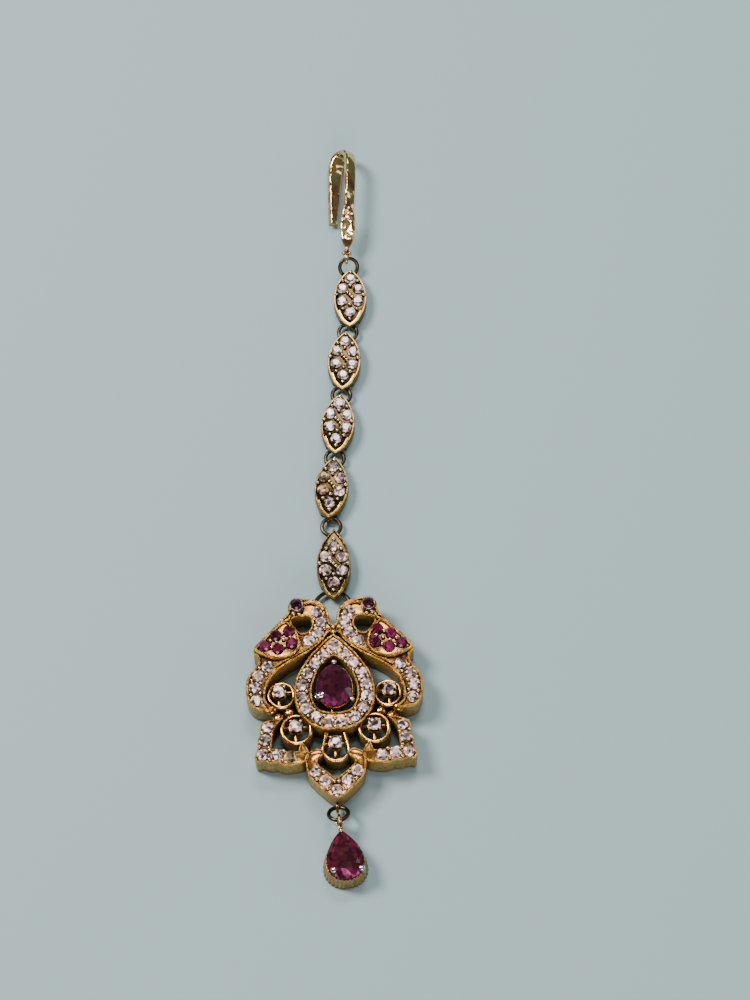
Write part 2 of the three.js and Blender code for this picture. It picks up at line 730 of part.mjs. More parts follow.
// Hook, about the middle of its eye
function hook() {
  const lift = (stripWidth / 2) * Math.sin(radians(hookRoll)); // brings the back leg's edge to the ground
  const topY = hookNeck + hookLength;
  const outer = hookDepth / 2;
  const bendY = topY - bendHeight;
  const legEnd = hookNeck + leafLength * 0.55;
  const strip = new THREE.Shape();
  strip.moveTo(0, topY - backLegLength);
  strip.lineTo(0, bendY);
  strip.absellipse(outer, bendY, outer, bendHeight, Math.PI, 0, true);
  strip.lineTo(hookDepth, hookNeck + leafLength);
  strip.lineTo(hookDepth - stripThickness, legEnd);
  strip.lineTo(hookDepth - stripThickness, bendY);
  strip.absellipse(outer, bendY, outer - stripThickness, bendHeight - stripThickness, 0, Math.PI, false);
  strip.lineTo(stripThickness, topY - backLegLength);
  const ribbon = new THREE.ExtrudeGeometry(strip, {
    depth: stripWidth,
    bevelEnabled: false,
    curveSegments: 12,
  });
  // The profile's x stands up as z, and its thickness runs across.
  ribbon.translate(0, 0, -stripWidth / 2);
  ribbon.applyMatrix4(new THREE.Matrix4().set(0, 0, -1, 0, 0, 1, 0, 0, 1, 0, 0, 0, 0, 0, 0, 1));
  ribbon.rotateY(radians(hookRoll));
  const frontLeg = hookDepth - stripThickness / 2;
  const legX = frontLeg * Math.sin(radians(hookRoll));
  const legZ = frontLeg * Math.cos(radians(hookRoll)) + lift - hookEyeHeight;
  ribbon.translate(-legX, 0, lift - hookEyeHeight);

  const leaf = new THREE.Shape();
  leaf.absellipse(0, leafLength / 2, leafWidth / 2, leafLength / 2, 0, 2 * Math.PI);
  const plate = new THREE.ExtrudeGeometry(leaf, {
    depth: stripThickness,
    bevelEnabled: false,
    curveSegments: 16,
  });
  plate.translate(0, 0, -stripThickness / 2);
  plate.rotateX(radians(leafPitch));
  const neckZ = legZ - leafLength * Math.sin(radians(leafPitch));
  plate.translate(0, hookNeck, neckZ);
  const neckEnd = hookNeck * 1.4; // inside the leaf
  const neckLength = Math.hypot(neckEnd, neckZ);
  const neckPitch = Math.atan2(neckZ, neckEnd);
  const neck = new THREE.BoxGeometry(eyeWidth, neckLength - eyeHole / 2, eyeWall * 1.5);
  neck.translate(0, (neckLength + eyeHole / 2) / 2, 0).rotateX(neckPitch);
  return joined([solidOf(ribbon), solidOf(plate), solidOf(neck), eye()]);
}

// Drop, about the middle of its eye, pear's point up towards +y
const dropRubyZ = dropCupHeight + 0.35;
const dropCentreY = -dropNeck - dropRubyHeight / 2;

const dropPear = { width: dropRubyWidth, height: dropRubyHeight, fullness: dropFullness };

function dropSetting() {
  const width = dropRubyWidth + 2 * dropCupWall;
  const height = dropRubyHeight + 2 * dropCupWall;
  const outer = { ...dropPear, width, height };
  const outside = pearPoints(outer, 2 * dropFlutes, dropFluteDepth, dropFlutes);
  const pocket = pearPoints(scaled(dropPear, 0.96), 16);
  const flared = stack(outside, [
    { z: 0, share: cupFlareAlong, wide: cupFlareAcross },
    { z: dropCupHeight, share: 1 },
  ]);
  const cup = flared.subtract(slab(pocket, dropCupHeight - dropPocketDepth, dropCupHeight + 1));
  const claws = pearClaws(dropPear, dropCupHeight * 0.5, dropRubyZ);
  const centred = joined([cup, ...claws]).translate([0, dropCentreY, 0]);
  const rise = dropEyeHeight - dropCupHeight * 0.8;
  const neck = new THREE.BoxGeometry(eyeWidth, dropNeck - eyeHole / 2, 2 * eyeWall);
  neck.translate(0, -(dropNeck + eyeHole / 2) / 2, dropEyeHeight - rise / 2);
  return joined([centred, solidOf(neck), eye().translate([0, 0, dropEyeHeight])]);
}

// Puts a ring between two points of the wires' middles
function placeRing(name, from, to) {
  const ring = meshOf(name, jumpRing(), darkBrass);
  const way = to.clone().sub(from).normalize();
  const sideways = new THREE.Vector3(way.y, -way.x, 0).normalize();
  const normal = new THREE.Vector3().crossVectors(sideways, way);
  ring.quaternion.setFromRotationMatrix(new THREE.Matrix4().makeBasis(sideways, way, normal));
  ring.position.copy(from).add(to).multiplyScalar(0.5);
  return ring;
}

// The point some way ahead of a place and to its right, at a heading in degrees
function ahead(from, degrees, way, sideways = 0) {
  const c = Math.cos(radians(degrees));
  const s = Math.sin(radians(degrees));
  return new THREE.Vector3(from.x - s * way + c * sideways, from.y + c * way + s * sideways, from.z);
}

const tikka = new THREE.Group();
const jewel = new THREE.Group();
tikka.add(jewel);

// Chain, from the lowest link's lower tip up
let tip = new THREE.Vector3(0, 0, 0);
const laid = chainRoute.map((row) => {
  const lower = new THREE.Vector3(tip.x + row.shift, tip.y + row.gap, 0);
  const length = row.size * linkLength;
  const upper = ahead(lower, row.turn, length);
  tip = upper;
  return { ...row, length, lower, upper };
});
const span = 2 * ringRadius;
laid.forEach((row, i) => {
  const above = laid[i + 1];
  const reachOver = (next) => (Math.sqrt(span * span - next.shift * next.shift) - next.gap) / 2;
  row.lowerInset = i === 0 ? bailInset : reachOver(row);
  row.upperInset = above ? reachOver(above) : hookRingInset;
  const half = row.length / 2;
  const body = link(row.length, row.stones, half - row.upperInset, half - row.lowerInset);
  const mesh = meshOf(row.name, body, gold);
  mesh.position.copy(ahead(row.lower, row.turn, half));
  mesh.rotation.z = radians(row.turn);
  jewel.add(mesh);
  row.lowerWire = ahead(row.lower, row.turn, row.lowerInset).setZ(chainHeight);
  row.upperWire = ahead(row.upper, row.turn, -row.upperInset).setZ(chainHeight);
});
laid.slice(0, -1).forEach((row, i) => {
  const number = laid.length - 1 - i;
  jewel.add(placeRing(`ring_${number}_${number + 1}`, row.upperWire, laid[i + 1].lowerWire));
});

// Hook above the first link
const first = laid[laid.length - 1].upperWire;
const climb = hookEyeHeight - chainHeight;
const hookReach = Math.sqrt(span * span - climb * climb - hookShift * hookShift);
const hookEye = new THREE.Vector3(first.x + hookShift, first.y + hookReach, hookEyeHeight);
jewel.add(placeRing("hook_ring", first, hookEye));
const hookMesh = meshOf("hook", hook(), gold);
hookMesh.position.copy(hookEye);
hookMesh.rotation.z = radians(hookTurn);
jewel.add(hookMesh);

// Medallion under the lowest link, hung by its bail
const bailTop = bailFeet + bailRadius;
const medallionGroup = medallion();
const bailWireAt = laid[0].lowerWire;
medallionGroup.position.copy(ahead(bailWireAt, medallionTurn, -bailTop, medallionShift)).setZ(0);
medallionGroup.rotation.z = radians(medallionTurn);
jewel.add(medallionGroup);

// Drop under the medallion's tab
const tabWire = ahead(medallionGroup.position, medallionTurn, tabPlace).setZ(tabEyeHeight);
const rise = dropEyeHeight - tabEyeHeight;
const dropReach = Math.sqrt(span * span - rise * rise);
const dropEye = new THREE.Vector3(tabWire.x + dropShift, tabWire.y - dropReach, dropEyeHeight);
jewel.add(placeRing("drop_ring", dropEye, tabWire));
const dropGroup = new THREE.Group();
dropGroup.add(meshOf("drop_setting", dropSetting(), gold));
const dropRuby = meshOf("drop_ruby", pearStone(dropPear), redStone);
dropRuby.position.set(0, dropCentreY, dropRubyZ);
dropGroup.add(dropRuby);
dropGroup.position.copy(dropEye).setZ(0);
dropGroup.rotation.z = radians(dropTurn);
jewel.add(dropGroup);

// The origin goes under the middle of the whole jewel.
const reach = new THREE.Box3().setFromObject(jewel, true);
jewel.position.set(-(reach.min.x + reach.max.x) / 2, -(reach.min.y + reach.max.y) / 2, -reach.min.z);

export default tikka;
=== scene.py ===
import math
import random

import bpy
from mathutils import Euler, Matrix, Vector


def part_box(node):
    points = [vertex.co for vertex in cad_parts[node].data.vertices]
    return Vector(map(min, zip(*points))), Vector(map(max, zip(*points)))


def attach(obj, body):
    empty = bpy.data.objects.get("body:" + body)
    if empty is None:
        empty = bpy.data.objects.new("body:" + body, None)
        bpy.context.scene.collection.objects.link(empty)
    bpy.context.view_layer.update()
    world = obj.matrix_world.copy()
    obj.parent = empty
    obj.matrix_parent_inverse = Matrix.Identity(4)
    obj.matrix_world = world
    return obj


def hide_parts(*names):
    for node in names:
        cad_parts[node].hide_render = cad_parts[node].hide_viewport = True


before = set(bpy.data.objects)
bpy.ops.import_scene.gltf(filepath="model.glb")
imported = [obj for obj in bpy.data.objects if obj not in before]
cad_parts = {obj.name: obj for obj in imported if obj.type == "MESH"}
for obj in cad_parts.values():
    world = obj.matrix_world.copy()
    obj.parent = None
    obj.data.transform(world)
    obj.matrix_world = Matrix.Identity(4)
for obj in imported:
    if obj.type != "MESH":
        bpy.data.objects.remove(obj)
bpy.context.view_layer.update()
mm = 0.001
draw = random.Random(11)  # one seeded source for every small irregularity


# Picking, joining, copying and cleaning
def pickNone():
    if bpy.context.object and bpy.context.object.mode != "OBJECT":
        bpy.ops.object.mode_set(mode="OBJECT")
    bpy.ops.object.select_all(action="DESELECT")


def pick(*pieces):
    pickNone()
    for piece in pieces:
        piece.select_set(True)
    bpy.context.view_layer.objects.active = pieces[0]


def joinAll(pieces):
    pick(*pieces)
    if len(pieces) > 1:
        bpy.ops.object.join()
    return bpy.context.object


def copyOf(piece, x=0.0, y=0.0, z=0.0, turn=0.0, size=1.0):
    twin = piece.copy()
    twin.data = piece.data.copy()
    bpy.context.scene.collection.objects.link(twin)
    twin.data.transform(
        Matrix.Translation((x, y, z)) @ Matrix.Rotation(turn, 4, "Z") @ Matrix.Scale(size, 4)
    )
    return twin


def discard(*pieces):
    for piece in pieces:
        bpy.data.objects.remove(piece)


def cleanMesh(piece):
    pick(piece)
    bpy.ops.object.mode_set(mode="EDIT")
    bpy.ops.mesh.select_all(action="SELECT")
    bpy.ops.mesh.remove_doubles(threshold=0.003)
    bpy.ops.mesh.normals_make_consistent(inside=False)
    bpy.ops.object.mode_set(mode="OBJECT")
    return piece


def smoothPath(points, closed=True, steps=5, side=1):
    # a smooth line through the points; a point with a third item is a sharp corner
    path = []
    count = len(points)
    for i in range(count if closed else count - 1):
        start, end = points[i], points[(i + 1) % count]
        before = points[i - 1] if (closed or i) else start
        after = points[(i + 2) % count] if (closed or i + 2 < count) else end
        before = start if len(start) > 2 else before
        after = end if len(end) > 2 else after
        corners = list(zip(before[:2], start[:2], end[:2], after[:2]))
        for step in range(steps):
            t = step / steps
            path.append(tuple(
                0.5 * (2 * b + (c - a) * t + (2 * a - 5 * b + 4 * c - d) * t ** 2
                       + (3 * b - a - 3 * c + d) * t ** 3)
                for a, b, c, d in corners
            ))
    if not closed:
        path.append(tuple(points[-1][:2]))
    return [(side * x, y) for x, y in path]


def circlePath(x, y, radius, count, shift=0.0):
    turns = [(i + shift) * math.tau / count for i in range(count)]
    return [(x + radius * math.cos(turn), y + radius * math.sin(turn)) for turn in turns]


def insetPath(path, distance):
    # shifts a closed line inwards by a distance
    count = len(path)
    area = sum(path[i - 1][0] * path[i][1] - path[i][0] * path[i - 1][1] for i in range(count))
    turn = 1 if area > 0 else -1
    shifted = []
    for i, (x, y) in enumerate(path):
        (ax, ay), (bx, by) = path[i - 1], path[(i + 1) % count]
        length = math.hypot(bx - ax, by - ay) or 1
        shifted.append((x - turn * distance * (by - ay) / length, y + turn * distance * (bx - ax) / length))
    return shifted


def drawCurve(paths, closed=True, flat=False):
    pickNone()
    bpy.ops.curve.primitive_bezier_curve_add()
    curve = bpy.context.object
    curve.data.splines.clear()
    curve.data.dimensions = "2D" if flat else "3D"
    for path in paths:
        spline = curve.data.splines.new("POLY")
        spline.points.add(len(path) - 1)
        for knot, at in zip(spline.points, path):
            knot.co = (at[0], at[1], at[2] if len(at) > 2 else 0, 1)
        spline.use_cyclic_u = closed
    return curve


def slab(paths, bottom, top, bevel=0.12, rounds=2):
    # a flat drawing with its holes, made solid between two heights, with rounded edges
    curve = drawCurve(paths, flat=True)
    curve.data.fill_mode = "BOTH"
    curve.data.extrude = (top - bottom) / 2 - bevel
    curve.data.bevel_depth = bevel
    curve.data.bevel_resolution = rounds
    curve.data.offset = -bevel
    bpy.ops.object.convert(target="MESH")
    piece = bpy.context.object
    piece.data.transform(Matrix.Translation((0, 0, (top + bottom) / 2)))
    return cleanMesh(piece)


def lightAndPolished(piece, share=1.0):
    # marks the rims and wires with 1 and the grips with 2; the ground, left at 0, gets painted shade, and the
    # grips a painted highlight on top of their wear
    layer = piece.data.attributes.get("lightAndPolish") or piece.data.attributes.new("lightAndPolish", "FLOAT", "POINT")
    layer.data.foreach_set("value", [share] * len(piece.data.vertices))
    return piece


def wire(path, radius, height=0.0, closed=True, rounds=1):
    # a round wire along a line
    curve = drawCurve([[(*at[:2], at[2] if len(at) > 2 else height) for at in path]], closed=closed)
    curve.data.bevel_depth = radius
    curve.data.bevel_resolution = rounds
    curve.data.use_fill_caps = not closed
    bpy.ops.object.convert(target="MESH")
    return lightAndPolished(cleanMesh(bpy.context.object))


def bead(x, y, z, radius, flatten=1.0):
    pickNone()
    bpy.ops.mesh.primitive_ico_sphere_add(subdivisions=2, radius=radius, location=(x, y, z))
    bpy.context.object.scale.z = flatten
    bpy.ops.object.transform_apply(location=True, rotation=True, scale=True)
    return lightAndPolished(bpy.context.object, 2.0)


def post(x, y, radius, bottom, top, sides=12, bevel=0.05):
    pickNone()
    bpy.ops.mesh.primitive_cylinder_add(
        vertices=sides, radius=radius, depth=top - bottom, location=(x, y, (top + bottom) / 2)
    )
    piece = bpy.context.object
    bpy.ops.object.transform_apply(location=True, rotation=True, scale=True)
    soften = piece.modifiers.new("soften", "BEVEL")
    soften.width = bevel
    soften.segments = 2
    soften.limit_method = "ANGLE"
    bpy.ops.object.modifier_apply(modifier=soften.name)
    return piece


def block(x, y, width, length, bottom, top, bevel=0.08):
    pickNone()
    bpy.ops.mesh.primitive_cube_add(size=1, location=(x, y, (top + bottom) / 2))
    piece = bpy.context.object
    piece.scale = (width, length, top - bottom)
    bpy.ops.object.transform_apply(location=True, rotation=True, scale=True)
    soften = piece.modifiers.new("soften", "BEVEL")
    soften.width = bevel
    soften.segments = 2
    bpy.ops.object.modifier_apply(modifier=soften.name)
    return piece


def hoop(x, y, z, radius, thickness, tilt=(0, 0, 0), around=32):
    pickNone()
    bpy.ops.mesh.primitive_torus_add(
        major_radius=radius, minor_radius=thickness, major_segments=around, minor_segments=10,
        location=(x, y, z), rotation=tilt,
    )
    bpy.ops.object.transform_apply(location=True, rotation=True, scale=True)
    return bpy.context.object


def settle(piece, name, material, place, replaced=(), smooth=True):
    # names a finished piece, lays it where it belongs and hands it to the frame
    x, y, turn = place
    pick(piece)
    if smooth:
        bpy.ops.object.shade_smooth_by_angle(angle=math.radians(38))
    piece.data.transform(
        Matrix.Scale(mm, 4) @ Matrix.Translation((x, y, 0)) @ Matrix.Rotation(turn, 4, "Z")
    )
    piece.name = name
    piece.data.name = name
    piece.data.materials.clear()
    piece.data.materials.append(material)
    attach(piece, "root")
    if replaced:
        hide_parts(*replaced)
    return piece


# Metals and glass
def newMaterial(name):
    material = bpy.data.materials.new(name)
    material.use_nodes = True
    return material, material.node_tree, material.node_tree.nodes["Principled BSDF"]


def addNode(tree, kind, **settings):
    node = tree.nodes.new(kind)
    for key, value in settings.items():
        if key in node.inputs:
            node.inputs[key].default_value = value
        else:
            setattr(node, key, value)
    return node


def noiseOn(tree, coordinates, size, detail=4.0):
    noise = addNode(tree, "ShaderNodeTexNoise", Scale=1 / (size * mm), Detail=detail, Roughness=0.55)
    tree.links.new(coordinates, noise.inputs["Vector"])
    return noise.outputs["Fac"]


def spread(tree, value, low, high, toLow=0.0, toHigh=1.0):
    node = addNode(tree, "ShaderNodeMapRange")
    node.inputs["From Min"].default_value = low
    node.inputs["From Max"].default_value = high
    node.inputs["To Min"].default_value = toLow
    node.inputs["To Max"].default_value = toHigh
    tree.links.new(value, node.inputs["Value"])
    return node.outputs["Result"]


def mixColours(tree, share, first, second, blend="MIX"):
    node = addNode(tree, "ShaderNodeMix", data_type="RGBA", blend_type=blend)
    for socket, value in ((node.inputs[0], share), (node.inputs[6], first), (node.inputs[7], second)):
        if isinstance(value, bpy.types.NodeSocket):
            tree.links.new(value, socket)
        elif isinstance(value, tuple):
            socket.default_value = (*value, 1)
        else:
            socket.default_value = value
    return node.outputs[2]


castFinish = {
    "mottleNoise": (0.38, 0.62),  # the noise's range over which the bright gold turns to copper
    "wallNoise": (0.35, 0.7),
    "fineNoise": (0.3, 0.7),
    "slope": (0.15, 0.6),  # how far up a wall has to look to become a face
    "deepReach": 3,  # mm, the wide shading of the piercings
    "deepShade": (0.1, 0.45),
    "deepShare": 0.35,
    "shineSpread": (-0.06, 0.08),
    "dullSpread": (-0.05, 0.08),
}


def castMetal(name, look):
    # cast and plated metal: bright on its faces, tarnished on its walls, with grime and painted shade in its
    # recesses;
    # the attribute of polish and painted light is 0 on the ground, which is painted in shade, 1 on rims and
    # wires and 2 on grips, which get a painted highlight over their wear
    material, tree, shader = newMaterial(name)
    finish = castFinish
    place = addNode(tree, "ShaderNodeTexCoord").outputs["Object"]
    facing = addNode(tree, "ShaderNodeSeparateXYZ")
    tree.links.new(addNode(tree, "ShaderNodeNewGeometry").outputs["Normal"], facing.inputs[0])
    up = spread(tree, facing.outputs["Z"], *finish["slope"])
    fine = noiseOn(tree, place, look["grain"], detail=6)
    mottle = spread(tree, noiseOn(tree, place, look["mottle"]), *finish["mottleNoise"])
    colour = mixColours(tree, mottle, look["bright"], look["copper"])
    lightAndPolish = addNode(tree, "ShaderNodeAttribute", attribute_name="lightAndPolish").outputs["Fac"]
    # painted shade: the ground away from rims and grips is darkened towards the ground colour
    colour = mixColours(tree, spread(tree, lightAndPolish, 0, 1, look["groundUnshaded"], 1.0), look["ground"], colour)
    # painted highlight: the grips turn towards the bright tip colour, over their real wear
    colour = mixColours(tree, spread(tree, lightAndPolish, 1, 2, 0.0, look["tipShare"]), colour, look["tip"])
    walls = mixColours(tree, spread(tree, fine, *finish["wallNoise"]), look["wall"], look["wallLight"])
    colour = mixColours(tree, up, walls, colour)
    # grime and painted shade in the recesses, from ambient occlusion; the second, wider pass is only painted
    # shade deep in the piercings
    for reach, low, high, share in (
        (look["reach"], look["grimeAndShadeFrom"], look["grimeAndShadeTo"], 1.0),
        (finish["deepReach"], *finish["deepShade"], finish["deepShare"]),
    ):
        hollow = addNode(tree, "ShaderNodeAmbientOcclusion", samples=8)
        hollow.inputs["Distance"].default_value = reach * mm
        shade = spread(tree, hollow.outputs["AO"], low, high, share, 0.0)
        colour = mixColours(tree, shade, colour, look["grimeAndShade"])
    tree.links.new(colour, shader.inputs["Base Color"])
    metallic = spread(tree, facing.outputs["Z"], *finish["slope"], look["wallMetal"], 1.0)
    tree.links.new(metallic, shader.inputs["Metallic"])
    rough = addNode(tree, "ShaderNodeMix", data_type="FLOAT")
    tree.links.new(up, rough.inputs[0])
    for socket, roughness, around in (
        (2, look["wallRoughness"], finish["dullSpread"]),
        (3, look["roughness"], finish["shineSpread"]),
    ):
        value = spread(tree, fine, *finish["fineNoise"], roughness + around[0], roughness + around[1])
        tree.links.new(value, rough.inputs[socket])
    tree.links.new(rough.outputs[0], shader.inputs["Roughness"])
    bump = addNode(tree, "ShaderNodeBump", Strength=look["bump"], Distance=look["dentDepth"] * mm)
    tree.links.new(noiseOn(tree, place, look["dents"], detail=look["dentDetail"]), bump.inputs["Height"])
    tree.links.new(bump.outputs["Normal"], shader.inputs["Normal"])
    return material


def cutGlass(name, look):
    # a cut stone: each facet has its colour with a painted reflection, and cells of painted glint flash
    # brighter or darker inside it
    material, tree, shader = newMaterial(name)
    tint = addNode(tree, "ShaderNodeAttribute", attribute_name="facetTintAndGlint")
    place = addNode(tree, "ShaderNodeTexCoord").outputs["Object"]
    cloud = spread(tree, noiseOn(tree, place, look["cloud"]), 0.35, 0.65, look["cloudLow"], 1.0)
    colour = mixColours(tree, 1.0, tint.outputs["Color"], cloud, blend="MULTIPLY")
    # painted glints: cells that make the colour brighter or darker
    cells = addNode(tree, "ShaderNodeTexVoronoi", Scale=1 / (look["cells"] * mm))
    tree.links.new(place, cells.inputs["Vector"])
    chance = addNode(tree, "ShaderNodeSeparateColor")
    tree.links.new(cells.outputs["Color"], chance.inputs[0])
    flash = addNode(tree, "ShaderNodeMapRange", interpolation_type="STEPPED")
    flash.inputs["Steps"].default_value = 3
    flash.inputs["To Min"].default_value = look["cellLow"]
    flash.inputs["To Max"].default_value = look["cellHigh"]
    tree.links.new(chance.outputs[0], flash.inputs["Value"])
    colour = mixColours(tree, 1.0, colour, flash.outputs["Result"], blend="MULTIPLY")
    tree.links.new(colour, shader.inputs["Base Color"])
    shader.inputs["Roughness"].default_value = look["roughness"]
    shader.inputs["IOR"].default_value = look["ior"]
    shader.inputs["Transmission Weight"].default_value = look["clear"]
    shader.inputs["Coat Weight"].default_value = look["coat"]
    shader.inputs["Coat Roughness"].default_value = look["coatRoughness"]
    shader.inputs["Specular IOR Level"].default_value = look["specular"]
    return material


goldLook = {
    "bright": (0.96, 0.54, 0.10),
    "copper": (0.58, 0.21, 0.04),
    # ground: painted shade between the stones; tip: a painted highlight on the grips
    "ground": (0.28, 0.11, 0.028),
    "groundUnshaded": 0.22,
    "tip": (1.0, 0.66, 0.36),
    "tipShare": 0.6,
    "wall": (0.15, 0.088, 0.014),
    "wallLight": (0.50, 0.34, 0.085),
    "wallMetal": 0.4,
    # grime and painted shade in the recesses: its colour, and the reach and range of the occlusion
    "grimeAndShade": (0.11, 0.062, 0.026),
    "mottle": 1.3,
    "grain": 0.35,
    "dents": 1.3,
    "reach": 0.9,
    "grimeAndShadeFrom": 0.5,
    "grimeAndShadeTo": 0.93,
    "roughness": 0.15,
    "wallRoughness": 0.42,
    "bump": 0.36,
    "dentDepth": 0.08,
    "dentDetail": 2,
}
hookLook = dict(
    goldLook, bright=(0.90, 0.66, 0.28), copper=(0.50, 0.22, 0.12), groundUnshaded=1.0, tipShare=0.0,
    wall=(0.30, 0.2, 0.07), wallLight=(0.6, 0.45, 0.2), wallMetal=0.95, roughness=0.12, wallRoughness=0.15,
    mottle=2.4, bump=1.0, dentDepth=0.3, dentDetail=0.5, grimeAndShadeFrom=0.1, grimeAndShadeTo=0.5,
)
silverLook = dict(
    goldLook, bright=(0.86, 0.78, 0.74), copper=(0.66, 0.5, 0.42), groundUnshaded=1.0, tipShare=0.0,
    wall=(0.35, 0.3, 0.2), wallLight=(0.5, 0.42, 0.3), wallMetal=0.9, roughness=0.12, wallRoughness=0.25,
    bump=0.2, grimeAndShadeFrom=0.2, grimeAndShadeTo=0.6,
)
roseLook = dict(silverLook, bright=(0.20, 0.11, 0.09), copper=(0.11, 0.05, 0.04), roughness=0.2)
darkLook = dict(
    goldLook, bright=(0.11, 0.085, 0.05), copper=(0.04, 0.025, 0.014), groundUnshaded=1.0, tipShare=0.0,
    wall=(0.025, 0.02, 0.012), wallLight=(0.12, 0.09, 0.05), wallMetal=0.8, roughness=0.3, wallRoughness=0.4,
    bump=0.4,
)
# its near-black ground is painted shade between the stones, and its pale tip a painted highlight on the grips
linkLook = dict(
    goldLook, bright=(0.62, 0.40, 0.08), copper=(0.30, 0.14, 0.03), ground=(0.08, 0.05, 0.015),
    groundUnshaded=0.05, tip=(1.0, 0.80, 0.52), tipShare=0.7, wall=(0.07, 0.05, 0.015),
    wallLight=(0.24, 0.18, 0.06), grimeAndShade=(0.03, 0.02, 0.008), grimeAndShadeFrom=0.6, grimeAndShadeTo=1.0,
)
whiteLook = {
    "cloud": 0.8,
    "cloudLow": 0.75,
    "cells": 0.4,
    "cellLow": 0.16,
    "cellHigh": 2.2,
    "roughness": 0.05,
    "ior": 1.9,
    "specular": 0.5,
    "clear": 0.0,
    "coat": 0.4,
    "coatRoughness": 0.05,
}
redLook = dict(
    whiteLook, cloud=1.4, cloudLow=0.7, cells=0.6, cellLow=0.5, cellHigh=1.4, roughness=0.06, ior=1.76,
    specular=0.15, clear=0.2, coat=0.0,
)
goldMetal = castMetal("antiqueGold", goldLook)
linkMetal = castMetal("wornGold", linkLook)
hookMetal = castMetal("polishedGold", hookLook)
silverMetal = castMetal("wornSilverTips", silverLook)
roseMetal = castMetal("roseTubes", roseLook)
darkMetal = castMetal("darkWire", darkLook)
whiteGlass = cutGlass("whiteStone", whiteLook)
redGlass = cutGlass("redStone", redLook)
print("materials made")

# Cutting the stones, and painting their tints and reflections facet by facet
# each list mixes the stones' own colour with painted reflections: bright, middling and near-black facets
whiteTintsAndGlints = [
    (1.0, 0.68, 0.66), (1.0, 0.76, 0.74), (0.45, 0.27, 0.25), (0.12, 0.07, 0.06), (1.0, 0.86, 0.83),
    (0.06, 0.037, 0.03), (0.28, 0.16, 0.14),
]
stoneTintsAndGlints = {
    "white": whiteTintsAndGlints,
    # the table lists are painted dark reflections; the lower lists paint the lower crown lighter
    "whiteTable": [(0.16, 0.10, 0.09), (0.28, 0.18, 0.165), (0.5, 0.34, 0.32), (0.85, 0.62, 0.59)],
    "link": whiteTintsAndGlints + [(0.30, 0.19, 0.16), (0.12, 0.08, 0.06)],
    "dull": [(0.40, 0.22, 0.07), (0.2, 0.12, 0.05), (0.55, 0.34, 0.14), (0.10, 0.07, 0.04)],
    "wing": [(0.17, 0.008, 0.05), (0.09, 0.005, 0.026), (0.27, 0.025, 0.10), (0.035, 0.003, 0.012)],
    "eye": [(0.04, 0.004, 0.013), (0.022, 0.003, 0.008), (0.08, 0.006, 0.024)],
    "centre": [(0.064, 0.009, 0.028), (0.042, 0.006, 0.019), (0.09, 0.012, 0.042)],
    "centreLower": [(0.14, 0.015, 0.06), (0.23, 0.024, 0.10), (0.07, 0.009, 0.033)],
    "centreTable": (0.045, 0.006, 0.014),
    "drop": [(0.10, 0.006, 0.024), (0.065, 0.005, 0.015), (0.14, 0.007, 0.04)],
    "dropLower": [(0.42, 0.09, 0.22), (0.12, 0.008, 0.045), (0.1, 0.006, 0.03)],
    "dropTable": (0.06, 0.01, 0.016),
}
cuts = {
    "table": 0.97,  # a facet that looks up more than this is the table
    "crown": (0.1, 0.95),  # and the facets beside it look up this far
    # each ring of points: their number, share of the width, height and shift along the ring
    "round": [
        (16, 1, -0.03, 0), (16, 1, 0.03, 0), (8, 0.8, 0.27, 0.5), (8, 0.56, 0.42, 0), (8, 0.5, -0.42, 0),
        (3, 0.05, -0.62, 0),
    ],
    "pear": [
        (32, 1, -0.012, 0), (32, 1, 0.012, 0), (16, 0.86, 0.058, 0.5), (16, 0.64, 0.105, 0),
        (16, 0.62, -0.13, 0), (4, 0.1, -0.2, 0),
    ],
}


def tintAndGlintFacets(stone, tintsAndGlints, table=None, lower=None, lowerEdge=0.0):
    # gives every facet a tint with a painted reflection, bright or near-black; the table may have a painted
    # dark reflection of its own, and the crown below an edge painted lighter facets of its own
    layer = stone.data.color_attributes.new("facetTintAndGlint", "FLOAT_COLOR", "CORNER")
    lowest, highest = cuts["crown"]
    for face in stone.data.polygons:
        isLower = lower and face.center.y < lowerEdge and lowest < face.normal.z < highest
        tint = draw.choice(lower if isLower else tintsAndGlints)
        if table and face.normal.z > cuts["table"]:
            tint = table
        for corner in face.loop_indices:
            layer.data[corner].color = (*tint, 1)


def facetHull(rings):
    # rings of points at their heights, wrapped in flat facets
    loops = []
    for ring in rings:
        pickNone()
        bpy.ops.mesh.primitive_circle_add(vertices=len(ring), radius=1)
        loop = bpy.context.object
        for vertex, at in zip(loop.data.vertices, ring):
            vertex.co = at
        loops.append(loop)
    stone = joinAll(loops)
    bpy.ops.object.mode_set(mode="EDIT")
    bpy.ops.mesh.select_all(action="SELECT")
    bpy.ops.mesh.convex_hull()
    bpy.ops.mesh.select_all(action="SELECT")
    bpy.ops.mesh.dissolve_limited(angle_limit=math.radians(2))
    bpy.ops.mesh.normals_make_consistent(inside=False)
    bpy.ops.object.mode_set(mode="OBJECT")
    return stone


def roundCut(diameter):
    radius = diameter / 2
    return facetHull([
        [(x, y, up * radius) for x, y in circlePath(0, 0, share * radius, count, shift)]
        for count, share, up, shift in cuts["round"]
    ])


def pearRing(width, height, fullness, count, share=1.0, z=0.0, shift=0.0):
    # a pear-shaped ring of points with its tip up; with a fullness of 0 it is an oval
    widest = max(math.sin(t) * math.sin(t / 2) ** fullness for t in (k * math.pi / 90 for k in range(1, 90)))
    ring = []
    for i in range(count):
        t = (i + shift) / count * math.tau
        bulge = math.sin(t) * abs(math.sin(t / 2)) ** fullness / widest
        ring.append((share * width / 2 * bulge, share * height / 2 * math.cos(t), z))
    return ring


def pearCut(width, height, fullness):
    return facetHull([
        pearRing(width, height, fullness, count, share, up * height, shift)
        for count, share, up, shift in cuts["pear"]
    ])


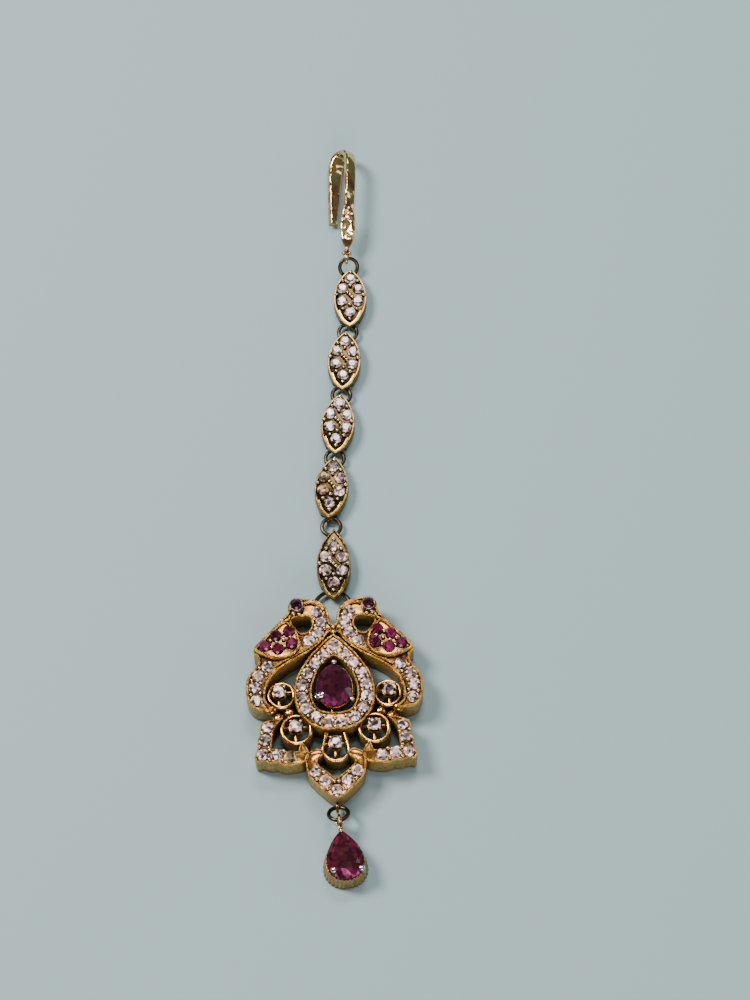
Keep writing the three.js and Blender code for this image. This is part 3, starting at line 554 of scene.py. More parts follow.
# Where the chain lies, worked out from the frame
chain = {
    "length": 9.5,
    "ring": 1.3,
    "wire": 0.55,
    "eyeWall": 0.4,
    "eyeHole": 0.85,
    "eyeWidth": 0.7,
    "eyeWire": 0.21,
    "neckWidth": 0.5,
    "bailInset": 1.75,  # from the lowest link's tip to the bail's wire
    "hookInset": 0.5,
    # from the lowest link up: heading in degrees, gap to the tip below, sideways shift, share of the length,
    # how far its stones sit above its middle, and its dull stones
    "links": [
        ("link_5", 0, 0, 0, 1.12, 0, ()),
        ("link_4", -5, 1.75, -0.8, 1, 0.35, (1, 3)),
        ("link_3", -4.5, 0.45, 0.05, 1, 0.35, ()),
        ("link_2", -3.2, 0.6, 0.2, 1, 0.35, ()),
        ("link_1", -0.6, 0.7, 0.5, 1, 0.35, ()),
    ],
}
chainZ = chain["eyeHole"] / 2 + chain["eyeWall"]


def middle(node):
    low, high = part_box(node)
    return (low + high) / 2 / mm


def ahead(at, turn, way):
    return Vector((at.x - math.sin(turn) * way, at.y + math.cos(turn) * way, 0))


def ringInset(row):
    # how far inside two tips the ring between them passes through the eyes
    span = 2 * chain["ring"]
    return (math.sqrt(span ** 2 - row["shift"] ** 2) - row["gap"]) / 2


def layChain():
    tip = Vector((middle("link_5").x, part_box("link_5")[0].y / mm, 0))
    laid = []
    for name, degrees, gap, shift, size, lift, dull in chain["links"]:
        turn = math.radians(degrees)
        lower = tip + Vector((shift, gap, 0))
        length = size * chain["length"]
        tip = ahead(lower, turn, length)
        laid.append({"name": name, "turn": turn, "gap": gap, "shift": shift, "lower": lower, "upper": tip,
                     "length": length, "lift": lift, "dull": dull})
    for i, row in enumerate(laid):
        row["lowerInset"] = ringInset(row) if i else chain["bailInset"]
        row["upperInset"] = ringInset(laid[i + 1]) if i + 1 < len(laid) else chain["hookInset"]
        row["lowerWire"] = ahead(row["lower"], row["turn"], row["lowerInset"]) + Vector((0, 0, chainZ))
        row["upperWire"] = ahead(row["upper"], row["turn"], -row["upperInset"]) + Vector((0, 0, chainZ))
    return laid


laidLinks = layChain()
print("chain's places found")

# Camera, lights and floor
view = {
    "target": (5.249, -10.999, 0.0),  # what the middle of the picture looks at, from link_3's middle, in mm
    "elevation": 65,
    "distance": 388.9,
    "lens": 100,
    "film": 36,
}
studio = {
    # each light aims at the middle: its place in metres, width, length, power and colour
    "lights": {
        "windowLight": ((-0.42, 0.16, 0.58), 0.2, 0.26, 6.6, (1.0, 0.975, 0.94)),
        "topLight": ((0.05, 0.5, 0.8), 0.34, 0.2, 3.3, (1.0, 0.98, 0.96)),
        "overhead": ((0, 0.105, 0.8), 0.12, 0.07, 0.9, (1.0, 0.99, 0.96)),
        "frontFill": ((0.1, -0.75, 0.4), 0.5, 0.25, 3.2, (1.0, 0.98, 0.96)),
        "sideFill": ((0.6, 0.05, 0.35), 0.22, 0.4, 0.6, (1.0, 0.96, 0.92)),
    },
    "worldColour": (0.60, 0.74, 0.76, 1),
    "worldStrength": 0.2,
    "floorSize": 4,
    "floorColour": (0.325, 0.435, 0.455, 1),
    "floorRoughness": 0.85,
    "floorSpecular": 0.15,
}


def addCamera():
    camera = bpy.data.objects.new("camera", bpy.data.cameras.new("camera"))
    bpy.context.scene.collection.objects.link(camera)
    camera.data.lens = view["lens"]
    camera.data.sensor_fit = "VERTICAL"
    camera.data.sensor_height = view["film"]
    camera.data.clip_start = 0.01
    camera.data.clip_end = 10
    tilt = math.radians(view["elevation"])
    way = Vector((0, -math.cos(tilt), math.sin(tilt)))
    low = middle("link_3")
    target = Vector((low.x, low.y, 0)) + Vector(view["target"])
    camera.location = (target + way * view["distance"]) * mm
    camera.rotation_euler = Euler((math.radians(90) - tilt, 0, 0))
    bpy.context.scene.camera = camera


def areaLight(name, at, width, length, power, colour):
    lamp = bpy.data.objects.new(name, bpy.data.lights.new(name, "AREA"))
    bpy.context.scene.collection.objects.link(lamp)
    lamp.data.shape = "RECTANGLE"
    lamp.data.size = width
    lamp.data.size_y = length
    lamp.data.energy = power
    lamp.data.color = colour
    lamp.location = at
    lamp.rotation_euler = (-Vector(at)).to_track_quat("-Z", "Y").to_euler()


def addLight():
    for name, row in studio["lights"].items():
        areaLight(name, *row)
    world = bpy.context.scene.world or bpy.data.worlds.new("world")
    bpy.context.scene.world = world
    world.use_nodes = True
    backdrop = world.node_tree.nodes["Background"]
    backdrop.inputs["Color"].default_value = studio["worldColour"]
    backdrop.inputs["Strength"].default_value = studio["worldStrength"]


def addFloor():
    pickNone()
    bpy.ops.mesh.primitive_plane_add(size=studio["floorSize"], location=(0, 0, -0.02 * mm))
    floor = bpy.context.object
    floor.name = "floor"
    material, _, shader = newMaterial("paleFloor")
    shader.inputs["Base Color"].default_value = studio["floorColour"]
    shader.inputs["Roughness"].default_value = studio["floorRoughness"]
    shader.inputs["Specular IOR Level"].default_value = studio["floorSpecular"]
    floor.data.materials.append(material)


addCamera()
addLight()
addFloor()
print("camera, lights and floor made")

# Medallion, in its own frame: x to its right side and y up from its middle, mirrored where a side is given
medallion = {
    "depth": 4.0,
    "bottomUp": -8.5,  # the lowest raised stone, which tells where the middle is
    "field": 0.25,  # stone field below the faces of the birds and the halo
    "haloRise": 0.25,  # how far the halo's and the wings' faces stand over the depth
    "wingRise": 0.35,
    "wingField": 0.2,
    "wingFloor": 2,
    "petalDrop": 0.2,  # and how far the others stay under it
    "petalField": 0.1,
    "archDrop": 0.5,
    "ringDrop": 0.4,
    "stone": 1.62,
    "stoneRise": 0.12,
    "grip": 0.29,
    "haloGripWay": 0.62,  # from the middle between two stones to the grip
    "gripWay": 0.66,
    "wingGrip": 0.27,
    "wingGripReach": 2.6,  # wing stones nearer to each other than this share a grip
    "ringWall": 0.52,
    "rims": {  # how far inside its edge, radius, and height over the face it lies on
        "halo": (0.16, 0.2, -0.16),
        "haloHole": (-0.16, 0.2, -0.16),
        "bird": (0.18, 0.22, 0.1),
        "neckOpening": (-0.16, 0.18, 0.06),
        "wing": (0.12, 0.2, -0.12),
        "petal": (0.1, 0.15, 0.04),
    },
    "ridges": [  # raised lines: radius, height over the depth, and points
        (0.26, 0, [(1.3, 10.6), (1.9, 11.3), (2.9, 11.75), (3.9, 11.6)]),
        (0.2, 0.25, [(5.8, 9.7), (6.1, 9.2), (6.7, 8.9), (7.4, 8.4)]),
        (0.34, -0.27, [(1.6, 6.6), (3.0, 5.5), (4.6, 4.5), (6.4, 3.55), (8.0, 2.6)]),
    ],
    "bird": [
        (-0.2, 7.3, 1), (-0.2, 8.3, 1), (0.35, 8.7), (0.5, 9.3), (0.6, 10.2), (0.9, 10.9), (1.5, 11.6),
        (2.2, 12.0), (3.0, 12.25), (4.2, 12.4), (5.3, 12.3), (6.0, 11.5), (6.15, 10.4), (6.9, 9.5),
        (8.2, 8.1), (9.1, 7.2), (9.9, 6.3), (10.7, 5.4), (10.8, 4.6), (10.3, 3.9), (10.2, 3.1, 1),
        (10.8, 2.2), (11.55, 1.2), (11.86, 0.2), (11.9, -1.0), (11.65, -2.2), (11.2, -3.1), (10.5, -3.6),
        (9.5, -3.8), (8.4, -3.8), (8.6, -3.2), (9.2, -2.5), (9.3, -1.5), (9.1, -0.4), (8.75, 0.5),
        (8.2, 1.2), (7.3, 2.1), (6.3, 2.85), (5.3, 3.4), (4.3, 3.95), (3.2, 4.6), (2.2, 5.4), (1.3, 6.3),
        (0.7, 7.2),
    ],
    "neckOpening": [
        (5.5, 9.4), (4.5, 9.7), (3.5, 9.7), (3.0, 9.3), (2.9, 8.4), (3.4, 7.6), (4.2, 7.3), (4.9, 7.8),
        (5.6, 8.8),
    ],
    "wing": [
        (10.6, 4.95), (10.1, 4.4), (9.0, 3.85), (8.0, 3.55), (7.0, 3.55), (6.0, 3.85), (5.2, 4.35),
        (4.7, 5.1), (4.6, 6.0), (4.9, 7.2), (5.7, 8.3), (6.4, 8.9), (7.2, 8.5), (8.1, 7.7), (9.0, 6.8),
        (9.9, 5.8),
    ],
    "sidePetal": [
        (7.2, -4.9), (8.3, -5.0), (9.6, -5.4), (10.05, -6.1), (10.0, -7.0), (10.4, -8.0), (10.35, -9.0),
        (10.8, -10.3, 1), (10.5, -11.0, 1), (9.5, -10.9), (8.7, -11.2), (7.9, -11.15), (6.9, -11.5),
        (5.8, -11.5), (4.6, -11.3), (3.8, -10.8), (3.6, -9.9), (4.0, -8.9), (4.6, -8.4), (5.0, -9.6, 1),
        (6.5, -9.55), (7.5, -9.3), (8.6, -9.1, 1), (8.5, -8.0), (8.3, -6.5), (7.7, -5.6),
    ],
    "bottomPetal": [
        (-0.1, -13.7, 1), (1.0, -12.7), (2.2, -11.7), (2.5, -10.9), (1.6, -10.0), (2.2, -9.3),
        (3.3, -9.6), (4.0, -10.2), (4.0, -11.5), (3.7, -12.9), (3.0, -13.9), (2.0, -14.9), (1.0, -15.8),
        (-0.1, -16.4, 1),
    ],
    "arch": [
        (1.3, -6.2), (1.7, -8.0), (2.0, -9.2), (1.8, -10.2), (1.0, -10.95), (-0.1, -11.1, 1),
        (-0.1, -10.6, 1), (0.7, -10.45), (1.3, -9.9), (1.5, -9.2), (1.2, -8.0), (0.8, -6.2),
    ],
    "haloOutside": [
        (0, 7.0), (1.0, 6.3), (2.0, 5.25), (2.9, 4.3), (3.7, 3.2), (4.6, 1.8), (5.2, 0.4), (5.4, -1.0),
        (5.4, -2.2), (5.1, -3.5), (4.4, -4.8), (3.5, -5.8), (2.2, -6.5), (1.0, -6.75), (0, -6.8),
    ],
    "haloInside": [
        (0, 3.75), (0.9, 3.3), (1.7, 2.6), (2.4, 1.2), (2.9, -0.3), (3.05, -1.5), (2.8, -2.8),
        (2.1, -3.8), (1.0, -4.2), (0, -4.25),
    ],
    "haloStones": [
        (0, 5.4), (1.45, 4.0), (2.55, 2.75), (3.6, 1.35), (4.3, -0.3), (4.4, -2.05), (3.8, -3.65),
        (2.55, -4.9), (0.9, -5.7),
    ],
    "neckStones": [(2.25, 10.4), (1.55, 8.9), (2.1, 7.35), (3.3, 6.2)],
    "tailStones": [(8.95, 2.6), (10.25, 1.25), (10.75, -0.4), (10.45, -2.25)],
    "sidePetalStones": [(9.0, -6.1), (9.4, -7.9), (9.7, -9.95), (7.95, -10.0), (6.1, -10.3)],
    "bottomPetalStones": [(2.8, -12.45), (1.5, -13.75), (0, -15.1)],
    "wingStones": [(9.2, 5.45), (7.8, 6.87), (6.0, 7.5), (5.65, 5.72), (7.5, 4.92)],
    "eye": (4.9, 11.2),
    "eyeTube": (1.0, 0.72, -1, 0.65),  # radii outside and inside, and its ends over the depth
    "eyeStone": 0.93,  # share of the field's stones
    "headGrips": [(5.35, 10.15, 0.36), (4.6, 10.05, 0.32)],
    "middleGrips": [(7.35, 0.4), (8.1, 0.3), (-16.0, 0.34)],
    "rings": {"upper": (7.15, -1.5, 1.95), "lower": (5.2, -6.4, 2.2)},
    "solitaires": {"upper": (7.4, -1.1), "lower": (5.25, -6.1), "bottom": (0, -8.5)},
    "solitaire": 1.78,
    "lumps": [(7.6, -4.6), (8.5, -3.3), (6.1, -3.9)],
    "lump": 0.85,
    "lumpDrop": 1.1,
    "centre": (-0.1, -0.55, 4.85, 6.1),  # pear stone: place, width, height
    "centreGirdle": 4.45,
    "centreFullness": 0.25,
    "centreLowerEdge": -1.6,
    # the claws: place, way inwards, radius, and how far they are drawn out
    "claws": [(0, 2.85, 0, -1, 0.36, 1), (-2.25, -2.15, 0.95, 0.3, 0.5, 1.8),
              (2.45, -2.75, -0.8, 0.6, 0.28, 1.2)],
    "clawFloor": 1.6,
    "bailRadius": 2.6,
    "bailWire": 0.3,
    "bailFeet": 12,
    "bailFootLength": 1.1,
    "tab": (-16.825, 1.6),  # the tab's hole: up, height
    "tabNeck": 0.9,
}
eyesMiddle = (middle("eye_ruby_left") + middle("eye_ruby_right")) / 2
bottomStone = middle("solitaire_bottom")
axisWay = (eyesMiddle - bottomStone).xy
medallionTurn = math.atan2(-axisWay.x, axisWay.y)
medallionAt = bottomStone.xy - axisWay.normalized() * medallion["bottomUp"]
medallionPlace = (medallionAt.x, medallionAt.y, medallionTurn)


def wholePath(half):
    # a half outline from top to bottom, closed over the middle line, with a point at the top
    right = smoothPath([(*half[0], 1), *half[1:]], closed=False)
    return right[:-1] + [(-x, y) for x, y in reversed(right[1:])]


def mirrored(spots, side):
    return [(side * x, y) for x, y in spots]


def gripsBetween(stones, surface, offset, closed=False):
    # two small grips on either side of the way from each stone to the next
    grips = []
    radius = medallion["grip"]
    pairs = list(zip(stones, stones[1:])) + ([(stones[-1], stones[0])] if closed else [])
    for (ax, ay), (bx, by) in pairs:
        length = math.hypot(bx - ax, by - ay)
        nx, ny = -(by - ay) / length, (bx - ax) / length
        for way in (1, -1):
            x = (ax + bx) / 2 + way * nx * offset
            y = (ay + by) / 2 + way * ny * offset
            grips.append(bead(x, y, surface + radius * 0.5, radius * draw.uniform(0.88, 1.12)))
    return grips


def rimOn(kind, path, face):
    inset, radius, rise = medallion["rims"][kind]
    return wire(insetPath(path, inset), radius, face + rise)


def buildHalo():
    face = medallion["depth"] + medallion["haloRise"]
    field = face - medallion["field"]
    outside = wholePath(medallion["haloOutside"])
    inside = wholePath(medallion["haloInside"])
    parts = [slab([outside, inside], 0, field), rimOn("halo", outside, face), rimOn("haloHole", inside, face)]
    stones = medallion["haloStones"] + [(-x, y) for x, y in reversed(medallion["haloStones"][1:])]
    parts += gripsBetween(stones, field, medallion["haloGripWay"], closed=True)
    return parts, [(x, y, field, False) for x, y in stones]


def buildBird(side):
    field = medallion["depth"] - medallion["field"]
    body = smoothPath(medallion["bird"], side=side, steps=4)
    opening = smoothPath(medallion["neckOpening"], side=side)
    parts = [slab([body, opening], 0, field, bevel=0.14)]
    parts.append(rimOn("bird", body, field))
    parts.append(rimOn("neckOpening", opening, field))
    wing = smoothPath(medallion["wing"], side=side)
    face = medallion["depth"] + medallion["wingRise"]
    parts.append(slab([wing], medallion["wingFloor"], face - medallion["wingField"]))
    parts.append(rimOn("wing", wing, face))
    stones = mirrored(medallion["wingStones"], side)
    for i, (ax, ay) in enumerate(stones):
        for bx, by in stones[i + 1:]:
            if math.hypot(ax - bx, ay - by) < medallion["wingGripReach"]:
                radius = medallion["wingGrip"] * draw.uniform(0.9, 1.15)
                parts.append(bead((ax + bx) / 2, (ay + by) / 2, face, radius))
    return parts, []


def buildPetals(side):
    # the side petal and one half of the bottom one; the left one has a worn stone at its end
    parts = []
    spots = []
    field = medallion["depth"] - medallion["petalDrop"] - medallion["petalField"]
    for name in ("sidePetal", "bottomPetal"):
        petal = smoothPath(medallion[name], side=side)
        parts.append(slab([petal], 0, field, bevel=0.12))
        parts.append(rimOn("petal", petal, field))
        stones = mirrored(medallion[name + "Stones"], side)
        parts += gripsBetween(stones, field, medallion["gripWay"])
        worn = stones[-1] if name == "sidePetal" and side < 0 else None
        spots += [(x, y, field, (x, y) == worn) for x, y in stones if side > 0 or x]
    return parts, spots


def buildOpenwork(side):
    depth = medallion["depth"]
    arch = slab([smoothPath(medallion["arch"], side=side)], 0, depth - medallion["archDrop"], bevel=0.2)
    parts = [lightAndPolished(arch)]
    for x, y, radius in medallion["rings"].values():
        circles = [circlePath(side * x, y, r, 48) for r in (radius, radius - medallion["ringWall"])]
        parts.append(lightAndPolished(slab(circles, 0, depth - medallion["ringDrop"], bevel=0.22, rounds=3)))
    for x, y in medallion["lumps"]:
        top = depth - medallion["lumpDrop"]
        parts.append(lightAndPolished(bead(side * x, y, top, medallion["lump"], flatten=0.8)))
        parts.append(post(side * x, y, 0.7, 0, top + 0.1))
    return parts, []


def buildPlumes(side):
    # the stones along the neck and the tail
    field = medallion["depth"] - medallion["field"]
    parts = []
    spots = []
    for name in ("neckStones", "tailStones"):
        stones = mirrored(medallion[name], side)
        parts += gripsBetween(stones, field, medallion["gripWay"])
        spots += [(x, y, field, False) for x, y in stones]
    return parts, spots


def buildHead(side):
    depth = medallion["depth"]
    x, y = medallion["eye"]
    parts = [post(side * x, y, 0.9, 0, depth - 0.2)]
    parts += [bead(side * gx, gy, depth, radius) for gx, gy, radius in medallion["headGrips"]]
    for radius, rise, points in medallion["ridges"]:
        ridge = smoothPath(points, closed=False, side=side)
        parts.append(wire(ridge, radius, depth + rise, closed=False))
    return parts, []


def buildEyeTube(side):
    x, y = medallion["eye"]
    outside, inside, low, high = medallion["eyeTube"]
    circles = [circlePath(side * x, y, radius, 32) for radius in (outside, inside)]
    return slab(circles, medallion["depth"] + low, medallion["depth"] + high, bevel=0.1)


metalParts, paveSpots = buildHalo()
for side in (1, -1):
    for build in (buildBird, buildPetals, buildOpenwork, buildPlumes, buildHead):
        parts, spots = build(side)
        metalParts += parts
        paveSpots += spots
for y, radius in medallion["middleGrips"]:
    metalParts.append(bead(0, y, medallion["depth"] - 0.1, radius))
eyeTubes = [buildEyeTube(side) for side in (1, -1)]
print("medallion's outlines made:", len(metalParts))

# Seats of the raised stones, with lengths from the stone's girdle
seat = {
    "under": 0.31,  # the table under the stone and its radius, as shares of the stone's width
    "table": 0.55,
    "thick": 0.65,
    "gap": 0.05,
    "prong": 0.17,
    "prongWay": 0.12,
    "tip": 0.2,
    "tipRise": 0.13,
    "arm": 0.42,
}
centreSeat = {
    "floor": 1.2,
    "under": 0.21,
    "share": 0.86,
    "gap": 0.03,
    "wire": 0.1,
    "wireDrop": 0.28,
    "bar": 0.8,
    "barTop": 2.0,
    "barShares": (1.45, 1.35),
    "barShift": 0.15,
}


def seatFor(x, y, girdle, diameter, arms):
    # a small table with four prongs, and arms that hold it
    top = girdle - seat["under"] * diameter
    bottom = top - seat["thick"] - seat["gap"]
    parts = [post(x, y, seat["table"] * diameter, bottom, top - seat["gap"], sides=20)]
    reach = diameter / 2 + seat["prongWay"]
    for k in range(4):
        angle = math.radians(45 + 90 * k)
        px, py = x + reach * math.cos(angle), y + reach * math.sin(angle)
        parts.append(post(px, py, seat["prong"], top - 0.5, girdle + 0.1, sides=10, bevel=0.03))
        inward = reach - 0.1
        tipX, tipY = x + inward * math.cos(angle), y + inward * math.sin(angle)
        parts.append(bead(tipX, tipY, girdle + seat["tipRise"], seat["tip"]))
    for ax, ay, width, length in arms:
        parts.append(block(ax, ay, width, length, bottom, top - 0.1, bevel=0.12))
    return parts


def buildCentreSeat():
    # a pear-shaped table and a thin rim under the stone, on two crossed bars
    cx, cy, width, height = medallion["centre"]
    fullness = medallion["centreFullness"]
    floor, barTop = centreSeat["floor"], centreSeat["barTop"]
    top = medallion["centreGirdle"] - centreSeat["under"] * height
    table = [(x, y + cy) for x, y, _ in pearRing(width, height, fullness, 48, centreSeat["share"])]
    rim = [(x, y + cy) for x, y, _ in pearRing(width, height, fullness, 48)]
    across, along = centreSeat["barShares"]
    return [
        slab([table], floor, top - centreSeat["gap"]),
        wire(rim, centreSeat["wire"], medallion["centreGirdle"] - centreSeat["wireDrop"]),
        block(cx, cy, centreSeat["bar"], height * along, floor, barTop),
        block(cx, cy - height * centreSeat["barShift"], width * across, centreSeat["bar"], floor, barTop),
    ]


def buildSettings():
    girdle = medallion["depth"] + 0.1
    arm = seat["arm"]
    parts = []
    for side in (1, -1):
        for level in ("upper", "lower"):
            rx, ry, radius = medallion["rings"][level]
            x, y = medallion["solitaires"][level]
            arms = [(side * rx, y, 2 * radius - 0.5, arm), (side * x, ry - radius / 2, arm, radius - 0.3)]
            parts += seatFor(side * x, y, girdle, medallion["solitaire"], arms)
    x, y = medallion["solitaires"]["bottom"]
    parts += seatFor(x, y, girdle, medallion["solitaire"], [(0, y, 3.0, arm), (0, y - 1.1, arm, 1.9)])
    return parts + buildCentreSeat()


def bailArch():
    # a half ring with two straight feet
    feet = medallion["bailFeet"]
    low = feet - medallion["bailFootLength"]
    half = circlePath(0, feet, medallion["bailRadius"], 60)[:31]
    arch = [(half[0][0], low), *half, (half[-1][0], low)]
    return wire(arch, medallion["bailWire"], chainZ, closed=False, rounds=2)


def tabEye(x, y, z, neckWay=0.0):
    # an upright eye with its hole along x, and a short neck towards +y or -y
    hole = chain["eyeHole"] / 2
    parts = [hoop(x, y, z, hole + 0.19, chain["eyeWire"], tilt=(0, math.radians(90), 0), around=24)]
    if neckWay:
        neckY = y + math.copysign(hole + 0.1, neckWay) + neckWay / 2
        half = chain["eyeWidth"] / 2
        parts.append(block(x, neckY, chain["neckWidth"], abs(neckWay), z - half, z + half, bevel=0.15))
    return parts


metalParts += buildSettings()
metalParts += tabEye(0, *medallion["tab"], neckWay=medallion["tabNeck"])
frameMetal = settle(joinAll(metalParts), "medallionMetal", goldMetal, medallionPlace,
                    replaced=["medallion_frame"])
settle(joinAll(eyeTubes), "eyeTubes", roseMetal, medallionPlace)
settle(bailArch(), "medallionBail", darkMetal, medallionPlace)
print("medallion's metal joined:", len(frameMetal.data.polygons), "faces")


def buildClaws(spots, bottom, girdle):
    # posts that stand by a pear stone and close over its edge with a drawn-out tip
    parts = []
    for x, y, inX, inY, radius, stretch in spots:
        parts.append(post(x, y, radius * 0.75, bottom, girdle + 0.05, sides=12))
        tip = bead(0, 0, 0, radius, flatten=0.75)
        turned = Matrix.Rotation(math.atan2(inY, inX), 4, "Z") @ Matrix.Diagonal((stretch, 1, 1, 1))
        reach = 0.15 + radius * (stretch - 1)
        tip.data.transform(Matrix.Translation((x + inX * reach, y + inY * reach, girdle + 0.22)) @ turned)
        parts.append(tip)
    return parts


centreClaws = buildClaws(medallion["claws"], medallion["clawFloor"], medallion["centreGirdle"])
settle(joinAll(centreClaws), "centreClaws", silverMetal, medallionPlace)


def scatterStones(master, spots, tintsAndGlints):
    # copies of a cut stone, each turned, sized and given its own tints and painted reflections
    stones = []
    for x, y, z, dull in spots:
        stone = copyOf(master, x, y, z, turn=draw.uniform(0, math.tau), size=draw.uniform(0.94, 1.04))
        if dull:
            tintAndGlintFacets(stone, stoneTintsAndGlints["dull"])
        else:
            tintAndGlintFacets(stone, tintsAndGlints, table=draw.choice(stoneTintsAndGlints["whiteTable"]))
        stones.append(stone)
    return stones


paveMaster = roundCut(medallion["stone"])
paveSpots = [(x, y, z + medallion["stoneRise"], dull) for x, y, z, dull in paveSpots]
settle(joinAll(scatterStones(paveMaster, paveSpots, stoneTintsAndGlints["white"])), "medallionStones", whiteGlass,
       medallionPlace, smooth=False)
for word, side in (("right", 1), ("left", -1)):
    face = medallion["depth"] + medallion["wingRise"]
    for i, (x, y) in enumerate(medallion["wingStones"]):
        stone = copyOf(paveMaster, side * x, y, face + 0.03, turn=draw.uniform(0, math.tau))
        tintAndGlintFacets(stone, stoneTintsAndGlints["wing"])
        settle(stone, f"wingRuby.{word}.{i + 1}", redGlass, medallionPlace,
               [f"wing_ruby_{word}_{i + 1}"], smooth=False)
    x, y = medallion["eye"]
    stone = copyOf(paveMaster, side * x, y, medallion["depth"] + 0.6, size=medallion["eyeStone"])
    tintAndGlintFacets(stone, stoneTintsAndGlints["eye"])
    settle(stone, f"eyeRuby.{word}", redGlass, medallionPlace, [f"eye_ruby_{word}"], smooth=False)
solitaireMaster = roundCut(medallion["solitaire"])
for level, word, side in (("upper", "right", 1), ("upper", "left", -1), ("lower", "right", 1),
                          ("lower", "left", -1), ("bottom", "", 1)):
    x, y = medallion["solitaires"][level]
    stone = copyOf(solitaireMaster, side * x, y, medallion["depth"] + 0.12, turn=draw.uniform(0, math.tau))
    tintAndGlintFacets(stone, stoneTintsAndGlints["white"])
    node = f"solitaire_{level}_{word}".rstrip("_")
    settle(stone, node.replace("_", "."), whiteGlass, medallionPlace, [node], smooth=False)
cx, cy, width, height = medallion["centre"]
centreStone = pearCut(width, height, medallion["centreFullness"])
centreStone.data.transform(Matrix.Translation((cx, cy, medallion["centreGirdle"])))
tintAndGlintFacets(centreStone, stoneTintsAndGlints["centre"], stoneTintsAndGlints["centreTable"], stoneTintsAndGlints["centreLower"],
           medallion["centreLowerEdge"])
settle(centreStone, "centreRuby", redGlass, medallionPlace, ["centre_ruby"], smooth=False)
discard(paveMaster, solitaireMaster)
print("medallion's stones set")

# Links
link = {
    "width": 4.65,
    "depth": 2.0,
    "faceDrop": 0.3,
    # the rim's last number is its mark between the ground's painted shade at 0 and a rim's full colour at 1
    "rim": (0.11, 0.14, 0.2, 0.3),  # how far inside the edge, radius, drop under the depth, and polish
    "vee": (0.84, 0.93, 0.19, 0.16),  # shares of the outline's width and length, radius and drop
    "veeEnd": 0.2,  # share of the length over the middle where the vee stops
    "blunt": (0.32, 0.18, 0.35, 0.025),  # where the tip starts to widen, over which length, and how much
    "stone": 1.67,
    "stoneDrop": 0.12,
    "stones": [(0, 2.85), (-1.15, 1.25), (1.15, 1.25), (-1.15, -0.8), (1.15, -0.8), (0, -2.65)],
    "grip": 0.29,
    "gripDrop": 0.06,
    "grips": [
        (0, 0.2), (0, 1.75), (0, -1.4), (-1.05, 2.45), (1.05, 2.45), (-1.0, -2.1), (1.0, -2.1), (-1.95, 0.2),
        (1.95, 0.2), (-0.35, 0.55), (0.35, -0.2), (0, -3.75), (0, 3.9),
    ],
}


def navette(length, width, count=14):
    # two arcs that meet in points
    radius = (length ** 2 + width ** 2) / (4 * width)
    half = math.asin(length / 2 / radius)
    right = []
    for k in range(count):
        angle = -half + 2 * half * k / count
        right.append((radius * math.cos(angle) - (radius - width / 2), radius * math.sin(angle)))
    return right + [(-x, -y) for x, y in right]


def bluntEnd(face, length):
    # rounds the lower tip, by pushing the points near it outwards
    start, over, wider, shorter = link["blunt"]
    blunt = []
    for x, y in face:
        near = max(0.0, (-y - length * start) / (length * over))
        blunt.append((x * (1 + wider * near), y * (1 - shorter * near)))
    return blunt


def buildLink(row):
    length, depth = row["length"], link["depth"]
    hole = chain["eyeHole"] / 2
    capBottom = chainZ + hole
    upper = length / 2 - row["upperInset"]
    lower = length / 2 - row["lowerInset"]
    face = bluntEnd(navette(length, link["width"]), length)
    parts = [slab([face], capBottom - 0.1, depth - link["faceDrop"], bevel=0.08)]
    inset, radius, drop, lightAndPolish = link["rim"]
    parts.append(lightAndPolished(wire(insetPath(face, inset), radius, depth - drop), lightAndPolish))
    across, along, radius, drop = link["vee"]
    vee = sorted((x * across, y * along) for x, y in face if y < -length * link["veeEnd"])
    parts.append(wire(smoothPath(vee, closed=False, steps=3), radius, depth - drop, closed=False))
    outline = smoothPath([(*at, 1) if at[0] == 0 else at for at in face], steps=3)
    foot = [(x, y) for x, y in outline if -(lower - hole) < y < upper - hole]
    parts.append(slab([foot], 0, capBottom, bevel=0.1))
    for sign, at in ((1, upper), (-1, lower)):
        parts += tabEye(0, sign * at, chainZ, neckWay=-sign * 0.3)
    for x, y in link["grips"]:
        radius = link["grip"] * draw.uniform(0.85, 1.15)
        parts.append(bead(x, y + row["lift"], depth - link["gripDrop"], radius))
    return parts


linkMaster = roundCut(link["stone"])
for row in laidLinks:
    at = ahead(row["lower"], row["turn"], row["length"] / 2)
    place = (at.x, at.y, row["turn"])
    name = row["name"].replace("_", ".")
    settle(joinAll(buildLink(row)), name, linkMetal, place, [row["name"]])
    height = link["depth"] - link["stoneDrop"]
    spots = [(x, y + row["lift"], height, i in row["dull"]) for i, (x, y) in enumerate(link["stones"])]
    stones = scatterStones(linkMaster, spots, stoneTintsAndGlints["link"])
    settle(joinAll(stones), name + ".stones", whiteGlass, place, smooth=False)
discard(linkMaster)
print("links made")

# Jump rings, and where the hook and the drop hang from them
hanging = {
    "hookEyeUp": 2.6,
    "hookShift": -0.55,
    "dropEyeUp": 3.0,
    "dropShift": 0.3,
}


def jumpRing(node, start, end):
    way = (end - start).normalized()
    sideways = Vector((way.y, -way.x, 0)).normalized()
    normal = sideways.cross(way)
    ring = hoop(0, 0, 0, chain["ring"], chain["wire"] / 2, around=40)
    turned = Matrix((sideways, way, normal)).transposed().to_4x4()
    ring.data.transform(Matrix.Translation((start + end) / 2) @ turned)
    settle(ring, node.replace("_", "."), darkMetal, (0, 0, 0), [node])


def reachOf(climb, shift=0.0):
    # how far along a ring takes the next eye, when it also climbs and shifts
    return math.sqrt(4 * chain["ring"] ** 2 - climb ** 2 - shift ** 2)


